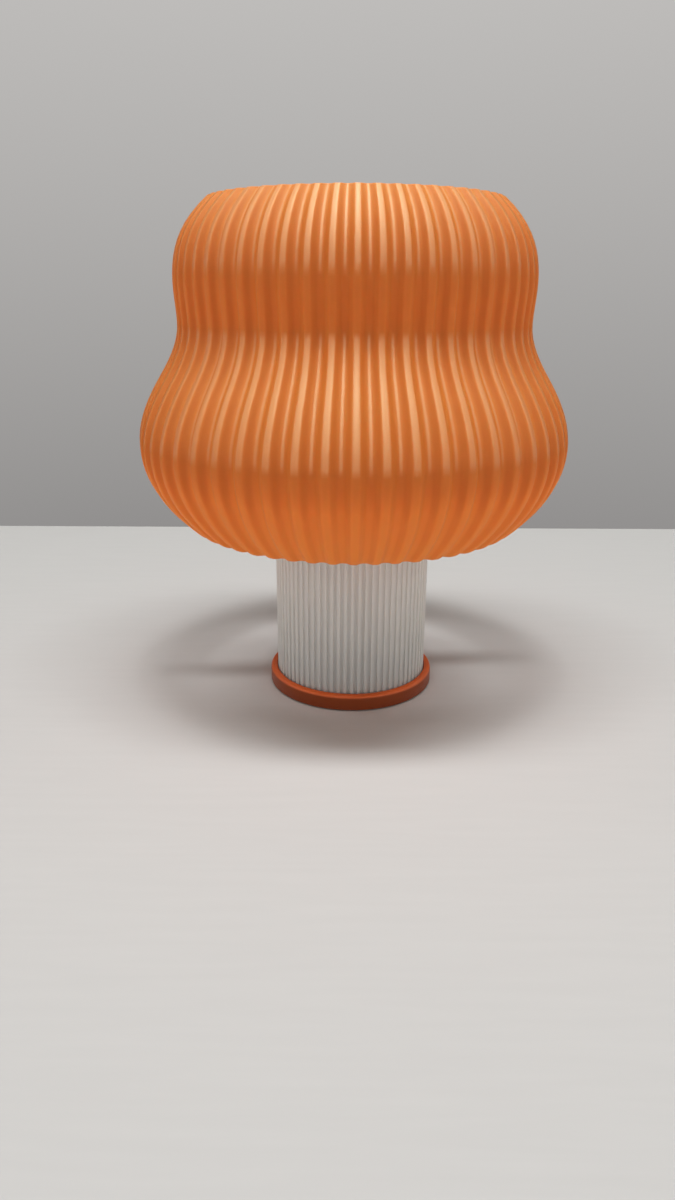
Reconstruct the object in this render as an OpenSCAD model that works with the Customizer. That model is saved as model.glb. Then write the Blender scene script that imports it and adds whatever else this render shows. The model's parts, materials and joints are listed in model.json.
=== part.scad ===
// Table lamp: a ribbed vase-shaped shade over a reeded round stem in a foot ring.
// The stem holds a screw-in lampholder, its leads, a terminal block and a weight.
// Millimetres, +Z up, origin at the middle of the pad that the lamp stands on.
// The front of the lamp faces -Y and the cord entry is at the rear, +Y.

/* [Foot] */
// How far the foot ring stands out from the reeds of the stem
foot_lip = 3.5; // [2.5:0.5:12]
// Height of the foot ring, without the pad under it
foot_h = 7; // [5.5:0.5:9]
// Thickness of the floor inside the foot ring
foot_floor = 3; // [2.8:0.1:3.6]
// Radius of the rounded upper edge of the foot ring
foot_edge = 1.6; // [0.4:0.1:2]
// Width of the dark gap between the foot ring and the reeds
foot_gap = 0.4; // [0.2:0.05:0.8]
// Thickness of the pad under the foot
pad_t = 1; // [0.8:0.1:1.2]
// How far the pad stands out below the foot ring
pad_proud = 0.6; // [0.4:0.1:0.7]
// How far the pad stays in from the edge of the foot ring
pad_inset = 2; // [1.5:0.5:4]

/* [Weight] */
// Diameter of the steel weight on the floor of the foot
weight_d = 49; // [46:0.5:50]
// Thickness of the steel weight
weight_t = 6; // [5:0.5:7]
// Distance of each weight screw from the lamp's axis
weight_screw_x = 17; // [15:0.5:19]

/* [Stem] */
// Diameter of the stem over its reeds
stem_d = 73; // [73:0.5:90]
// Height of the top of the stem above the table
stem_top = 82; // [80:1:110]
// Wall of the stem below the reeds
stem_wall = 2.5; // [1.6:0.1:2.6]
// Number of reeds around the stem
reed_count = 72; // [36:1:90]
// Height of a reed above the groove beside it
reed_depth = 0.7; // [0.3:0.1:1.2]
// Part of the pitch that the flat top of a reed takes
reed_top_share = 0.42; // [0.3:0.02:0.5]
// Diameter of the three screw posts inside the stem
post_d = 8.4; // [7.4:0.2:8.6]
// Depth of the screw holes in the posts
post_hole_depth = 12; // [11:0.5:20]

/* [Cord entry] */
// Height of the cord entry above the table
entry_z = 15.3; // [15.3:0.1:22]
// Diameter of the cord that the bush takes
cord_d = 6; // [5:0.1:7]
// Wall of the bush round the cord
bush_wall = 1.7; // [1.4:0.1:2]
// How far each flange of the bush stands out round its neck
bush_flange = 2; // [1.5:0.1:2.1]
// Thickness of each flange of the bush
bush_flange_t = 2.2; // [1.5:0.1:2.6]
// Thickness of the flat place in the wall that the bush grips
entry_wall = 3.6; // [3:0.1:4.2]

/* [Terminal block] */
// Length of the terminal block along the leads
block_l = 18; // [16:0.5:20]
// Width of the terminal block across both poles
block_w = 20; // [18:0.5:22]
// Height of the terminal block
block_h = 11.6; // [11:0.1:12]
// Distance of each pole from the middle of the block
pole_x = 5; // [4.8:0.1:5.4]
// Outer diameter of a brass terminal tube
tube_d = 5; // [4.6:0.1:5.2]
// Bore of a brass terminal tube
tube_bore = 3.4; // [2.8:0.1:3.6]
// Distance of each terminal screw from the middle of its tube
pole_screw_y = 5; // [4.5:0.1:5.5]

/* [Lampholder] */
// Outer diameter of the lampholder's rear cap
holder_d = 43; // [42:0.5:46]
// Wall of the rear cap
holder_wall = 2; // [1.6:0.1:2.2]
// Length of the rear cap, without its entry neck
cap_h = 22; // [20:0.5:24]
// Diameter of the entry neck under the rear cap
neck_d = 16; // [14:0.5:18]
// Length of the entry neck
neck_h = 6; // [5.5:0.5:7]
// Bore of the entry neck
neck_bore = 7.2; // [7:0.1:9]
// Outer diameter of the threaded sleeve round the bulb's cap
sleeve_d = 39.5; // [38:0.5:41]
// Bore of the threaded sleeve
sleeve_bore = 34; // [32:0.5:35]
// How far the sleeve stands up above the underside of the mounting plate
sleeve_h = 16; // [12:0.5:18]
// Diameter of the flange that bears on the mounting plate from below
flange_d = 48; // [46:0.5:49]
// Thickness of that flange
flange_t = 2.5; // [2:0.1:3.5]
// Distance from the underside of the mounting plate down to the joint of sleeve and cap
joint_drop = 19; // [18.5:0.5:22]
// Thickness of the ceramic core
core_t = 10; // [8:0.5:11]
// Bore of the screw shell that takes the bulb's cap
shell_bore = 26.8; // [26.8:0.1:27.4]
// Wall of the screw shell
shell_wall = 0.5; // [0.4:0.1:0.8]
// Height of the screw shell
shell_h = 24; // [20:0.5:26]
// Outer diameter of the clamp ring
clamp_d = 52; // [48:0.5:52]
// Height of the clamp ring
clamp_h = 6; // [5:0.5:8]
// Distance of each holder terminal from the lamp's axis
holder_pole_x = 11; // [10.8:0.1:11.4]

/* [Mounting plate] */
// Thickness of the mounting plate
plate_t = 3; // [2.6:0.1:4]
// How far the top of the plate lies below the top of the stem
plate_drop = 3; // [2.5:0.5:6]

/* [Shade] */
// Height of the shade
shade_h = 138; // [120:1:160]
// Outer diameter of the shade at its foot
shade_foot_d = 147.8; // [130:0.2:160]
// Largest outer diameter, at the belly
belly_d = 192; // [176:1:220]
// Height of the belly above the foot of the shade
belly_h = 38.5; // [32:0.5:44]
// Outer diameter at the shoulder, where the outline turns hollow
shoulder_d = 170.6; // [164:0.2:176]
// Height of the shoulder above the foot of the shade
shoulder_h = 67; // [60:0.5:72]
// Outer diameter at the waist
waist_d = 153.6; // [146:0.2:158]
// Height of the waist above the foot of the shade
waist_h = 88.5; // [82:0.5:94]
// Outer diameter at the crown, above the waist
crown_d = 155.5; // [148:0.5:162]
// Height of the crown above the foot of the shade
crown_h = 105; // [100:0.5:112]
// Outer diameter at the mouth
mouth_d = 124.2; // [112:0.2:140]
// Number of ribs round the shade
rib_count = 54; // [30:1:60]
// Depth of a rib as a share of the radius
rib_share = 0.027; // [0.01:0.001:0.035]
// Part of the pitch that the flat top of a rib takes
rib_top_share = 0.38; // [0.3:0.02:0.46]
// Part of the pitch that each side of a rib takes
rib_side_share = 0.13; // [0.08:0.01:0.16]
// Wall of the shade
shade_wall = 1.2; // [0.8:0.1:1.6]

/* [Spider] */
// Number of spokes
spoke_count = 4; // [3:1:6]
// Turn of the first spoke from +X
spoke_turn = 8; // [0:1:30]
// Width of a spoke
spoke_w = 10; // [6:0.5:14]
// Thickness of the spokes, the hub and the rim
spider_t = 3; // [2:0.2:5]
// How far the hub stands out past the reeds of the stem
hub_lip = 2; // [1:0.5:5]
// Wall of the collar that centres the hub in the stem
collar_wall = 1.8; // [1.2:0.1:2.2]
// Width of the rim inside the foot of the shade
rim_w = 3.5; // [2.5:0.5:6]

/* [Bulb] */
// Diameter of the bulb's globe
globe_d = 55; // [50:1:58]
// Length of the bulb from its contact to its top
bulb_l = 98; // [94:1:104]
// Outer diameter of the bulb's screw cap
bulb_cap_d = 26.2; // [25.8:0.1:26.2]
// Length of the bulb's screw cap
bulb_cap_l = 20; // [18:0.5:22]
// Height of the contact and its insulator under the cap
bulb_tip_h = 5; // [4:0.5:6]
// Wall of the globe
globe_wall = 1.2; // [0.8:0.1:1.8]
// Wall of the bulb's housing
housing_wall = 1.5; // [1.2:0.1:2]
// Number of light chips on the round board
chip_count = 12; // [6:1:14]

/* [Leads] */
// Diameter of each insulated lead
lead_d = 2; // [1.6:0.1:2.2]
// Diameter of the bare end of a lead
wire_d = 1.2; // [0.8:0.1:1.4]

/* [Clearances] */
// Gap round a screw in its hole
screw_gap = 0.05; // [0.04:0.01:0.1]
// Gap between pieces that are put together by hand
fit_gap = 0.1; // [0.05:0.01:0.2]
// Gap between pieces that slide apart
slide_gap = 0.3; // [0.2:0.05:0.4]

/* [Hidden] */
$fn = 96;
tiny = 0.01;

// Heights of the foot
foot_bottom = pad_proud;
foot_top = foot_bottom + foot_h;
floor_top = foot_bottom + foot_floor;
weight_top = floor_top + weight_t;

// Radii of the stem and the foot
stem_r = stem_d / 2;
groove_r = stem_r - reed_depth;
stem_bore_r = groove_r - stem_wall;
foot_r = stem_r + foot_lip;
pad_r = foot_r - pad_inset;

// Screw posts, kept clear of the cord entry
post_angles = [30, 150, 270];
post_sink = 0.4;
post_r = stem_bore_r + post_sink - post_d / 2;

// Screw sizes: shank radius, head radius, head height, length under the head
m3 = 1.5;
m3_head_r = 2.7;
m3_head_h = 1.6;
m4 = 2;
m4_head_r = 3.6;
m4_head_h = 2.1;
small_screw = 1.25;
small_head_r = 1.8;
small_head_h = 1.3;
base_screw_l = 10;
plate_screw_l = 11;

// Mounting plate
plate_top = stem_top - plate_drop;
plate_bottom = plate_top - plate_t;
plate_r = stem_bore_r - fit_gap;

// Cord entry
bush_bore_r = cord_d / 2 + 0.2;
bush_neck_r = bush_bore_r + bush_wall;
bush_flange_r = bush_neck_r + bush_flange;
spot_r = bush_flange_r + slide_gap;
spot_y = sqrt(pow(groove_r, 2) - pow(spot_r, 2)) - fit_gap;
entry_inner_y = spot_y - entry_wall;
entry_top = entry_z + spot_r + 1;

// Terminal block
tube_z = weight_top + tube_d / 2 + 2.2;
block_top = weight_top + block_h;
tube_l = block_l - 2;
block_floor = 3;
pole_tower_r = small_head_r + 0.9;

// Lampholder heights, from the underside of the mounting plate
sleeve_top = plate_bottom + sleeve_h;
joint_z = plate_bottom - joint_drop;
spigot_h = 4.8;
core_top = joint_z + spigot_h + 0.2;
core_bottom = core_top - core_t;
cap_bottom = joint_z - cap_h;
neck_bottom = cap_bottom - neck_h;
holder_r = holder_d / 2;
spigot_r = holder_r - 1;
spigot_bore_r = spigot_r - 1.1;
core_r = spigot_bore_r - fit_gap;
cap_bore_r = min(holder_r - holder_wall, core_r - 1.2);
sleeve_r = sleeve_d / 2;
holder_block_h = 6;
holder_block_w = 6;
holder_block_z = core_bottom - holder_block_h;
holder_wire_x = holder_pole_x - 0.6;

// Bulb, from its contact up
bulb_z = core_top + 2;
globe_r = globe_d / 2;
globe_z = bulb_z + bulb_l - globe_r;
bulb_cap_r = bulb_cap_d / 2;
bulb_cap_wall = 0.6;
bulb_cap_z = bulb_z + bulb_tip_h;
bulb_cap_top = bulb_cap_z + bulb_cap_l;
bulb_contact_h = 0.36 * bulb_tip_h;
insulator_top = bulb_cap_z + 1.5;
insulator_r = bulb_cap_r - 1.3;
housing_spigot_r = bulb_cap_r - bulb_cap_wall - fit_gap;
bulb_hollow_r = housing_spigot_r - housing_wall;
// The globe stands on the housing at 0.6 of its radius below its middle
housing_top = globe_z - 0.6 * globe_r;
board_z = housing_top - 3;
globe_foot_r = sqrt(pow(globe_r, 2) - pow(globe_z - housing_top, 2));
housing_top_r = globe_foot_r + 0.8;
globe_foot_inner_r = sqrt(pow(globe_r - globe_wall, 2) - pow(globe_z - housing_top, 2));
light_board_r = globe_foot_inner_r - 0.4;
light_board_t = 1.6;
// Driver board, and the width, depth and height of what stands on it
driver_board_t = 1.2;
driver_foot_z = insulator_top + fit_gap;
capacitor_r = 3.6;
capacitor_h = 13;
transformer = [7, 5.6, 9];
rectifier = [6, 2.5, 5];

// Shade
shade_z = stem_top;
// Height above the foot, radius and slope at each station of the outline
stations = [
    [0, shade_foot_d / 2, 1.25],
    [belly_h, belly_d / 2, 0],
    [shoulder_h, shoulder_d / 2, -0.645],
    [waist_h, waist_d / 2, 0],
    [crown_h, crown_d / 2, 0],
    [shade_h, mouth_d / 2, -1.2]
];
station_steps = [3, 2, 2, 1, 3];

// Spider
hub_r = stem_r + hub_lip;
collar_r = stem_bore_r - slide_gap;
collar_bore_r = collar_r - collar_wall;
collar_depth = plate_drop - slide_gap;
rim_r = (shade_foot_d / 2) * (1 - rib_share) - shade_wall - 0.2;

// Route of the live lead in three stretches; the neutral lead is its mirror image
block_mouth = [pole_x, -block_l / 2 - slide_gap, tube_z];
neck_mouth = [0, 0, neck_bottom];
pole_mouth = [holder_wire_x, 0, holder_block_z - 0.4];
block_stretch = [
    [0, 0, 0], [0, -0.7, 0], [0, -3.7, 0], [-0.3, -7.2, 1.5], [-0.9, -8.7, 5],
    [-1.7, -7.2, 8.5], [-2.5, -3.7, 10]
];
neck_stretch = [
    [1.8, -8, -4.7], [1.3, -3, -4.7], [1.2, 0.5, -3.2], [1.2, 2, 0.3], [1.2, 2, 3.8], [1.2, 2, 7.2]
];
pole_stretch = [[-8.1, 1.8, -6.4], [-4.8, 1.1, -4.7], [-1.4, 0.3, -3.7], [0, 0, -1.2], [0, 0, 0]];
lead_points = concat(
    [for (p = block_stretch) block_mouth + p],
    [for (p = neck_stretch) neck_mouth + p],
    [for (p = pole_stretch) pole_mouth + p]
);
lead_in_neck_y = neck_stretch[4][1];
lead_sides = 8;
lead_steps = 3;

// A ring with square edges, from its outer and inner radius
module ring(outer_r, inner_r, h) {
    difference() {
        cylinder(r = outer_r, h = h);
        translate([0, 0, -1])
            cylinder(r = inner_r, h = h + 2);
    }
}

// Each child once at every post
module at_posts() {
    for (a = post_angles)
        rotate([0, 0, a])
            translate([post_r, 0, 0])
                children();
}

// A cross for a screwdriver, cut downwards from z = 0
module cross_recess(size) {
    for (a = [0, 90])
        rotate([0, 0, a])
            translate([-size / 2, -size / 10, -size / 4])
                cube([size, size / 5, size / 4 + 1]);
}

// A countersunk screw with its flat head at z = 0 and its point below
module sunk_screw(shank_r, head_r, head_h, l) {
    difference() {
        union() {
            translate([0, 0, -head_h])
                cylinder(r1 = shank_r, r2 = head_r, h = head_h);
            translate([0, 0, -l])
                cylinder(r = shank_r, h = l - head_h + tiny);
        }
        cross_recess(head_r * 1.2);
    }
}

// The hole that a countersunk screw sits in
module sunk_hole(shank_r, head_r, head_h, l) {
    translate([0, 0, -head_h])
        cylinder(r1 = shank_r + screw_gap, r2 = head_r + screw_gap, h = head_h);
    translate([0, 0, -l])
        cylinder(r = shank_r + screw_gap, h = l);
    cylinder(r = head_r + screw_gap, h = 1);
}

// A screw with a flat round head that bears on z = 0 and its point below
module pan_screw(shank_r, head_r, head_h, l) {
    difference() {
        union() {
            cylinder(r = head_r, h = head_h);
            translate([0, 0, -l])
                cylinder(r = shank_r, h = l + tiny);
        }
        translate([-head_r, -head_r / 7, head_h / 2])
            cube([head_r * 2, head_r / 3.5, head_h]);
    }
}

// Foot and weight

module base_pad() {
    color("dimgray")
        cylinder(r = pad_r, h = pad_t);
}

module foot_ring() {
    color([0.72, 0.27, 0.07])
    difference() {
        rotate_extrude() {
            translate([0, foot_bottom])
                square([foot_r - foot_edge, foot_h]);
            translate([0, foot_bottom])
                square([foot_r, foot_h - foot_edge]);
            translate([foot_r - foot_edge, foot_top - foot_edge])
                circle(r = foot_edge);
        }
        translate([0, 0, floor_top])
            cylinder(r = stem_r + foot_gap, h = foot_h);
        translate([0, 0, -1])
            cylinder(r = pad_r + fit_gap, h = pad_t + 1);
        at_posts()
            translate([0, 0, pad_t])
                rotate([180, 0, 0])
                    sunk_hole(m3, m3_head_r, m3_head_h, foot_h);
        for (s = [-1, 1])
            translate([s * weight_screw_x, 0, pad_t])
                rotate([180, 0, 0])
                    sunk_hole(m4, m4_head_r, m4_head_h, foot_h);
    }
}

module foot_screws() {
    color("silver")
    at_posts()
        translate([0, 0, pad_t + screw_gap])
            rotate([180, 0, 0])
                sunk_screw(m3, m3_head_r, m3_head_h, base_screw_l);
}

module weight_plate() {
    color("slategray")
    difference() {
        translate([0, 0, floor_top])
            cylinder(r = weight_d / 2, h = weight_t);
        for (s = [-1, 1])
            translate([s * weight_screw_x, 0, 0])
                cylinder(r = m4 + screw_gap, h = weight_top + 1);
        translate([0, 0, floor_top + 1])
            cylinder(r = small_screw + screw_gap, h = weight_t);
    }
}

module weight_screws() {
    color("silver")
    for (s = [-1, 1])
        translate([s * weight_screw_x, 0, pad_t + screw_gap])
            rotate([180, 0, 0])
                sunk_screw(m4, m4_head_r, m4_head_h, weight_top - pad_t - 1);
}

// Stem

// Outline of the reeded stem: two corners on each reed and two in each groove
module reeded_outline() {
    pitch = 360 / reed_count;
    half_top = reed_top_share / 2;
    half_foot = 0.5 - reed_top_share / 2;
    polygon([
        for (i = [0 : reed_count - 1], c = [
            [-half_top, stem_r], [half_top, stem_r],
            [half_foot, groove_r], [1 - half_foot, groove_r]
        ])
            let (a = (i + c[0]) * pitch - 90)
                [c[1] * cos(a), c[1] * sin(a)]
    ]);
}

// The reeded wall and the screw posts of the stem, from one height to another
module stem_length(low, high) {
    difference() {
        union() {
            difference() {
                translate([0, 0, low])
                    linear_extrude(high - low)
                        reeded_outline();
                translate([0, 0, low - 1])
                    cylinder(r = stem_bore_r, h = high - low + 2);
            }
            intersection() {
                translate([0, 0, low])
                    cylinder(r = stem_bore_r + post_sink, h = min(high, plate_bottom) - low);
                at_posts()
                    cylinder(d = post_d, h = plate_bottom);
            }
        }
        at_posts() {
            translate([0, 0, floor_top - 1])
                cylinder(r = m3 + screw_gap, h = post_hole_depth + 1);
            translate([0, 0, plate_bottom - post_hole_depth])
                cylinder(r = m3 + screw_gap, h = post_hole_depth + 1);
        }
    }
}

// The stem up to just above the cord entry, with the thick wall round the entry
module stem_foot() {
    entry_hole_r = bush_neck_r + fit_gap;
    color("antiquewhite")
    difference() {
        union() {
            stem_length(floor_top, entry_top);
            intersection() {
                translate([0, 0, floor_top])
                    cylinder(r = stem_bore_r + post_sink, h = entry_top - floor_top);
                translate([-spot_r - 1, entry_inner_y, floor_top])
                    cube([2 * spot_r + 2, stem_r, entry_top - floor_top]);
            }
        }
        translate([0, stem_r + 1, entry_z])
            rotate([90, 0, 0])
                cylinder(r = entry_hole_r, h = stem_r);
        translate([0, stem_r + 1, entry_z])
            rotate([90, 0, 0])
                cylinder(r = spot_r, h = stem_r + 1 - spot_y);
    }
}

// The stem above the cord entry
module stem_tube() {
    color("antiquewhite")
        stem_length(entry_top, stem_top);
}

module cord_bush() {
    neck_l = spot_y - entry_inner_y;
    color([0.15, 0.15, 0.15])
    translate([0, entry_inner_y, entry_z])
        rotate([-90, 0, 0])
            difference() {
                union() {
                    translate([0, 0, -bush_flange_t])
                        cylinder(r = bush_flange_r, h = bush_flange_t);
                    translate([0, 0, -tiny])
                        cylinder(r = bush_neck_r, h = neck_l + 2 * tiny);
                    translate([0, 0, neck_l])
                        cylinder(r = bush_flange_r, h = bush_flange_t);
                }
                translate([0, 0, -bush_flange_t - 1])
                    cylinder(r = bush_bore_r, h = neck_l + 2 * bush_flange_t + 2);
            }
}

// Terminal block

module terminal_housing() {
    bore_r = tube_d / 2 + fit_gap;
    color("ghostwhite")
    difference() {
        union() {
            translate([-block_w / 2, -block_l / 2, weight_top])
                cube([block_w, block_l, block_floor]);
            for (s = [-1, 1]) {
                translate([s * pole_x, block_l / 2, tube_z])
                    rotate([90, 0, 0])
                        cylinder(r = bore_r + 1.2, h = block_l);
                translate([s * pole_x - bore_r - 1.2, -block_l / 2, weight_top])
                    cube([2 * bore_r + 2.4, block_l, tube_z - weight_top]);
                for (y = [-pole_screw_y, pole_screw_y])
                    translate([s * pole_x, y, tube_z])
                        cylinder(r = pole_tower_r, h = block_top - tube_z);
            }
        }
        for (s = [-1, 1]) {
            translate([s * pole_x, block_l / 2 + 1, tube_z])
                rotate([90, 0, 0])
                    cylinder(r = bore_r, h = block_l + 2);
            for (y = [-pole_screw_y, pole_screw_y])
                translate([s * pole_x, y, tube_z])
                    cylinder(r = small_head_r + fit_gap, h = block_h);
        }
        translate([0, 0, weight_top - 1])
            cylinder(r = small_screw + screw_gap, h = block_h);
        translate([0, 0, weight_top + block_floor])
            cylinder(r = small_head_r + fit_gap, h = block_h);
    }
}

module terminal_tubes() {
    color("goldenrod")
    for (s = [-1, 1])
        difference() {
            translate([s * pole_x, tube_l / 2, tube_z])
                rotate([90, 0, 0])
                    cylinder(d = tube_d, h = tube_l);
            translate([s * pole_x, tube_l / 2 + 1, tube_z])
                rotate([90, 0, 0])
                    cylinder(d = tube_bore, h = tube_l + 2);
            for (y = [-pole_screw_y, pole_screw_y])
                translate([s * pole_x, y, tube_z])
                    cylinder(r = small_screw + screw_gap, h = tube_d);
        }
}

module terminal_screws() {
    screw_tip_z = tube_z + wire_d / 2 + screw_gap;
    head_z = tube_z + tube_d / 2 + 0.6;
    color("silver")
    for (s = [-1, 1], y = [-pole_screw_y, pole_screw_y])
        translate([s * pole_x, y, head_z])
            pan_screw(small_screw, small_head_r, small_head_h, head_z - screw_tip_z);
}

module terminal_fixing_screw() {
    color("silver")
    translate([0, 0, weight_top + block_floor])
        pan_screw(small_screw, small_head_r, small_head_h, block_floor + weight_t - 2);
}

// Leads

function unit(v) = v / norm(v);

// A point on the smooth curve through four neighbouring points
function smooth_point(p0, p1, p2, p3, t) =
    0.5 * (2 * p1 + t * (p2 - p0) + t * t * (2 * p0 - 5 * p1 + 4 * p2 - p3)
        + t * t * t * (3 * p1 - p0 - 3 * p2 + p3));

// The first and last stretches stay straight, so that the ends are square
function smooth_path(points, steps) =
    let (n = len(points))
    concat(
        [points[0]],
        [
            for (i = [1 : n - 3], k = [0 : steps - 1])
                smooth_point(points[i - 1], points[i], points[i + 1], points[i + 2], k / steps)
        ],
        [points[n - 2], points[n - 1]]
    );

function tangent(path, i) = unit(path[min(i + 1, len(path) - 1)] - path[max(i - 1, 0)]);

// A direction square to the path at each point, carried along without twist
function side_directions(path, i, side) =
    let (t = tangent(path, i), s = unit(side - (side * t) * t))
    i == len(path) - 1 ? [s] : concat([s], side_directions(path, i + 1, s));

// A closed round tube along a path
module tube_along(path, r, sides) {
    n = len(path);
    side = side_directions(path, 0, [1, 0, 0]);
    points = [
        for (i = [0 : n - 1], j = [0 : sides - 1])
            let (a = 360 * (j + 0.5) / sides, across = cross(tangent(path, i), side[i]))
                path[i] + r * (cos(a) * side[i] + sin(a) * across)
    ];
    faces = concat(
        [[for (j = [0 : sides - 1]) j]],
        [
            for (i = [0 : n - 2], j = [0 : sides - 1])
                let (k = (j + 1) % sides)
                    [i * sides + j, (i + 1) * sides + j, (i + 1) * sides + k, i * sides + k]
        ],
        [[for (j = [0 : sides - 1]) n * sides - 1 - j]]
    );
    polyhedron(points, faces, convexity = 6);
}

module live_lead() {
    color("saddlebrown")
        tube_along(smooth_path(lead_points, lead_steps), lead_d / 2, lead_sides);
}

module neutral_lead() {
    color("steelblue")
        mirror([1, 0, 0])
            tube_along(smooth_path(lead_points, lead_steps), lead_d / 2, lead_sides);
}

// The four bare ends, which start face to face with the insulated leads
module bare_wire_ends() {
    color("peru")
    for (s = [0, 1])
        mirror([s, 0, 0]) {
            translate(block_mouth)
                rotate([-90, 0, 0])
                    cylinder(d = wire_d, h = block_l / 2 - 1.5);
            translate(pole_mouth)
                cylinder(d = wire_d, h = core_bottom - 1.2 - pole_mouth[2]);
        }
}

// Mounting plate

module mounting_plate() {
    color("antiquewhite")
    difference() {
        translate([0, 0, plate_bottom])
            cylinder(r = plate_r, h = plate_t);
        translate([0, 0, plate_bottom - 1])
            cylinder(r = sleeve_r + fit_gap, h = plate_t + 2);
        at_posts()
            translate([0, 0, plate_top])
                sunk_hole(m3, m3_head_r, m3_head_h, plate_t + 1);
    }
}

module plate_screws() {
    color("silver")
    at_posts()
        translate([0, 0, plate_top - screw_gap])
            sunk_screw(m3, m3_head_r, m3_head_h, plate_screw_l);
}

// Lampholder

module holder_cap() {
    grip_z = cap_bottom - neck_h / 2;
    color([0.12, 0.12, 0.12])
    difference() {
        union() {
            rotate_extrude()
                polygon([
                    [0, cap_bottom], [holder_r - 5, cap_bottom], [holder_r - 1.5, cap_bottom + 2],
                    [holder_r, cap_bottom + 6], [holder_r, joint_z], [spigot_r, joint_z],
                    [spigot_r, joint_z + spigot_h], [0, joint_z + spigot_h]
                ]);
            translate([0, 0, neck_bottom])
                cylinder(d = neck_d, h = neck_h + 1);
        }
        translate([0, 0, core_bottom])
            cylinder(r = spigot_bore_r, h = core_t + spigot_h);
        translate([0, 0, cap_bottom + 6])
            cylinder(r = cap_bore_r, h = cap_h);
        translate([0, 0, cap_bottom + 2.5])
            cylinder(r1 = cap_bore_r - 3.5, r2 = cap_bore_r, h = 3.5 + tiny);
        translate([0, 0, neck_bottom - 1])
            cylinder(d = neck_bore, h = neck_h + 6);
        translate([0, 0, grip_z])
            rotate([90, 0, 0])
                cylinder(r = m3 + screw_gap, h = neck_d);
    }
}

module grip_screw() {
    tip_y = lead_in_neck_y - lead_d / 2 - screw_gap;
    color("silver")
    translate([0, -neck_d / 2, cap_bottom - neck_h / 2])
        rotate([90, 0, 0])
            pan_screw(m3, m3_head_r, m3_head_h, neck_d / 2 + tip_y);
}

module holder_core() {
    color("whitesmoke")
    difference() {
        translate([0, 0, core_bottom])
            cylinder(r = core_r, h = core_t);
        for (s = [-1, 1])
            translate([s * holder_pole_x, 0, core_bottom - 1])
                cylinder(r = 1 + screw_gap, h = core_t + 2);
        translate([0, 0, core_bottom - 1])
            cylinder(r = 3, h = core_t / 2);
    }
}

// Each block hangs under the core, with a pin up through it
module holder_terminals() {
    color("goldenrod")
    for (s = [-1, 1])
        difference() {
            union() {
                translate([s * holder_pole_x - 3, -holder_block_w / 2, holder_block_z])
                    cube([6, holder_block_w, holder_block_h]);
                translate([s * holder_pole_x, 0, core_bottom - 1])
                    cylinder(r = 1, h = core_t + 1);
            }
            translate([s * holder_wire_x, 0, holder_block_z - 1])
                cylinder(d = wire_d + 2 * fit_gap, h = holder_block_h);
            translate([s * holder_wire_x, 0, holder_block_z + holder_block_h / 2])
                rotate([0, s * 90, 0])
                    cylinder(r = small_screw + screw_gap, h = 6);
        }
}

module holder_terminal_screws() {
    head_x = holder_pole_x + 3;
    tip_x = holder_wire_x + wire_d / 2 + screw_gap;
    color("silver")
    for (s = [-1, 1])
        translate([s * head_x, 0, holder_block_z + holder_block_h / 2])
            rotate([0, s * 90, 0])
                pan_screw(small_screw, small_head_r, small_head_h, head_x - tip_x);
}

module holder_sleeve() {
    color([0.12, 0.12, 0.12])
    difference() {
        union() {
            translate([0, 0, joint_z])
                cylinder(r = holder_r, h = plate_bottom - joint_z);
            translate([0, 0, plate_bottom - flange_t])
                cylinder(d = flange_d, h = flange_t);
            translate([0, 0, plate_bottom - 1])
                cylinder(r = sleeve_r, h = sleeve_h + 1);
        }
        translate([0, 0, joint_z - 1])
            cylinder(d = sleeve_bore, h = sleeve_top - joint_z + 2);
        translate([0, 0, joint_z - 1])
            cylinder(r = spigot_r + fit_gap, h = core_top - joint_z + 1);
    }
}

// A brass shell on the core, open beside the live pin
module screw_shell() {
    shell_r = shell_bore / 2;
    color("goldenrod")
    difference() {
        translate([0, 0, core_top])
            cylinder(r = shell_r + shell_wall, h = shell_h);
        translate([0, 0, core_top + 0.6])
            cylinder(r = shell_r, h = shell_h);
        translate([0, 0, core_top - 1])
            cylinder(r = holder_pole_x - 2, h = 3);
        translate([0, -4, core_top - 1])
            cube([shell_r - 0.2, 8, 2]);
    }
}

// A springy brass strip from the live pin to the middle
module centre_contact() {
    strip_w = 5;
    strip_t = 0.4;
    rise = bulb_z - slide_gap - core_top;
    color("goldenrod")
    translate([0, strip_w / 2, core_top])
        rotate([90, 0, 0])
            linear_extrude(strip_w)
                polygon([
                    [holder_pole_x + 1.4, 0], [holder_pole_x + 1.4, strip_t], [4.2, strip_t],
                    [-2.6, rise], [-3, rise - strip_t], [4, 0]
                ]);
}

module clamp_ring() {
    grip_count = 18;
    color([0.12, 0.12, 0.12])
    difference() {
        translate([0, 0, plate_top]) {
            cylinder(d = clamp_d, h = 2);
            cylinder(d = clamp_d - 3, h = clamp_h);
            for (i = [0 : grip_count - 1])
                rotate([0, 0, i * 360 / grip_count])
                    translate([clamp_d / 2 - 1.5, 0, 0])
                        cylinder(r = 1.2, h = clamp_h - 0.5, $fn = 24);
        }
        translate([0, 0, plate_top - 1])
            cylinder(r = sleeve_r + fit_gap, h = clamp_h + 2);
    }
}

// Bulb

module bulb_contact() {
    tip_h = 0.8;
    color("silver")
    translate([0, 0, bulb_z]) {
        cylinder(r1 = 2.6, r2 = 3.6, h = tip_h);
        translate([0, 0, tip_h - tiny])
            cylinder(r = 4.6, h = bulb_contact_h - tip_h + tiny);
    }
}

module bulb_insulator() {
    contact_top = bulb_z + bulb_contact_h;
    color([0.1, 0.1, 0.12])
    rotate_extrude()
        polygon([
            [0, contact_top], [5.4, contact_top], [insulator_r, bulb_cap_z],
            [insulator_r, insulator_top], [0, insulator_top]
        ]);
}

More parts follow.
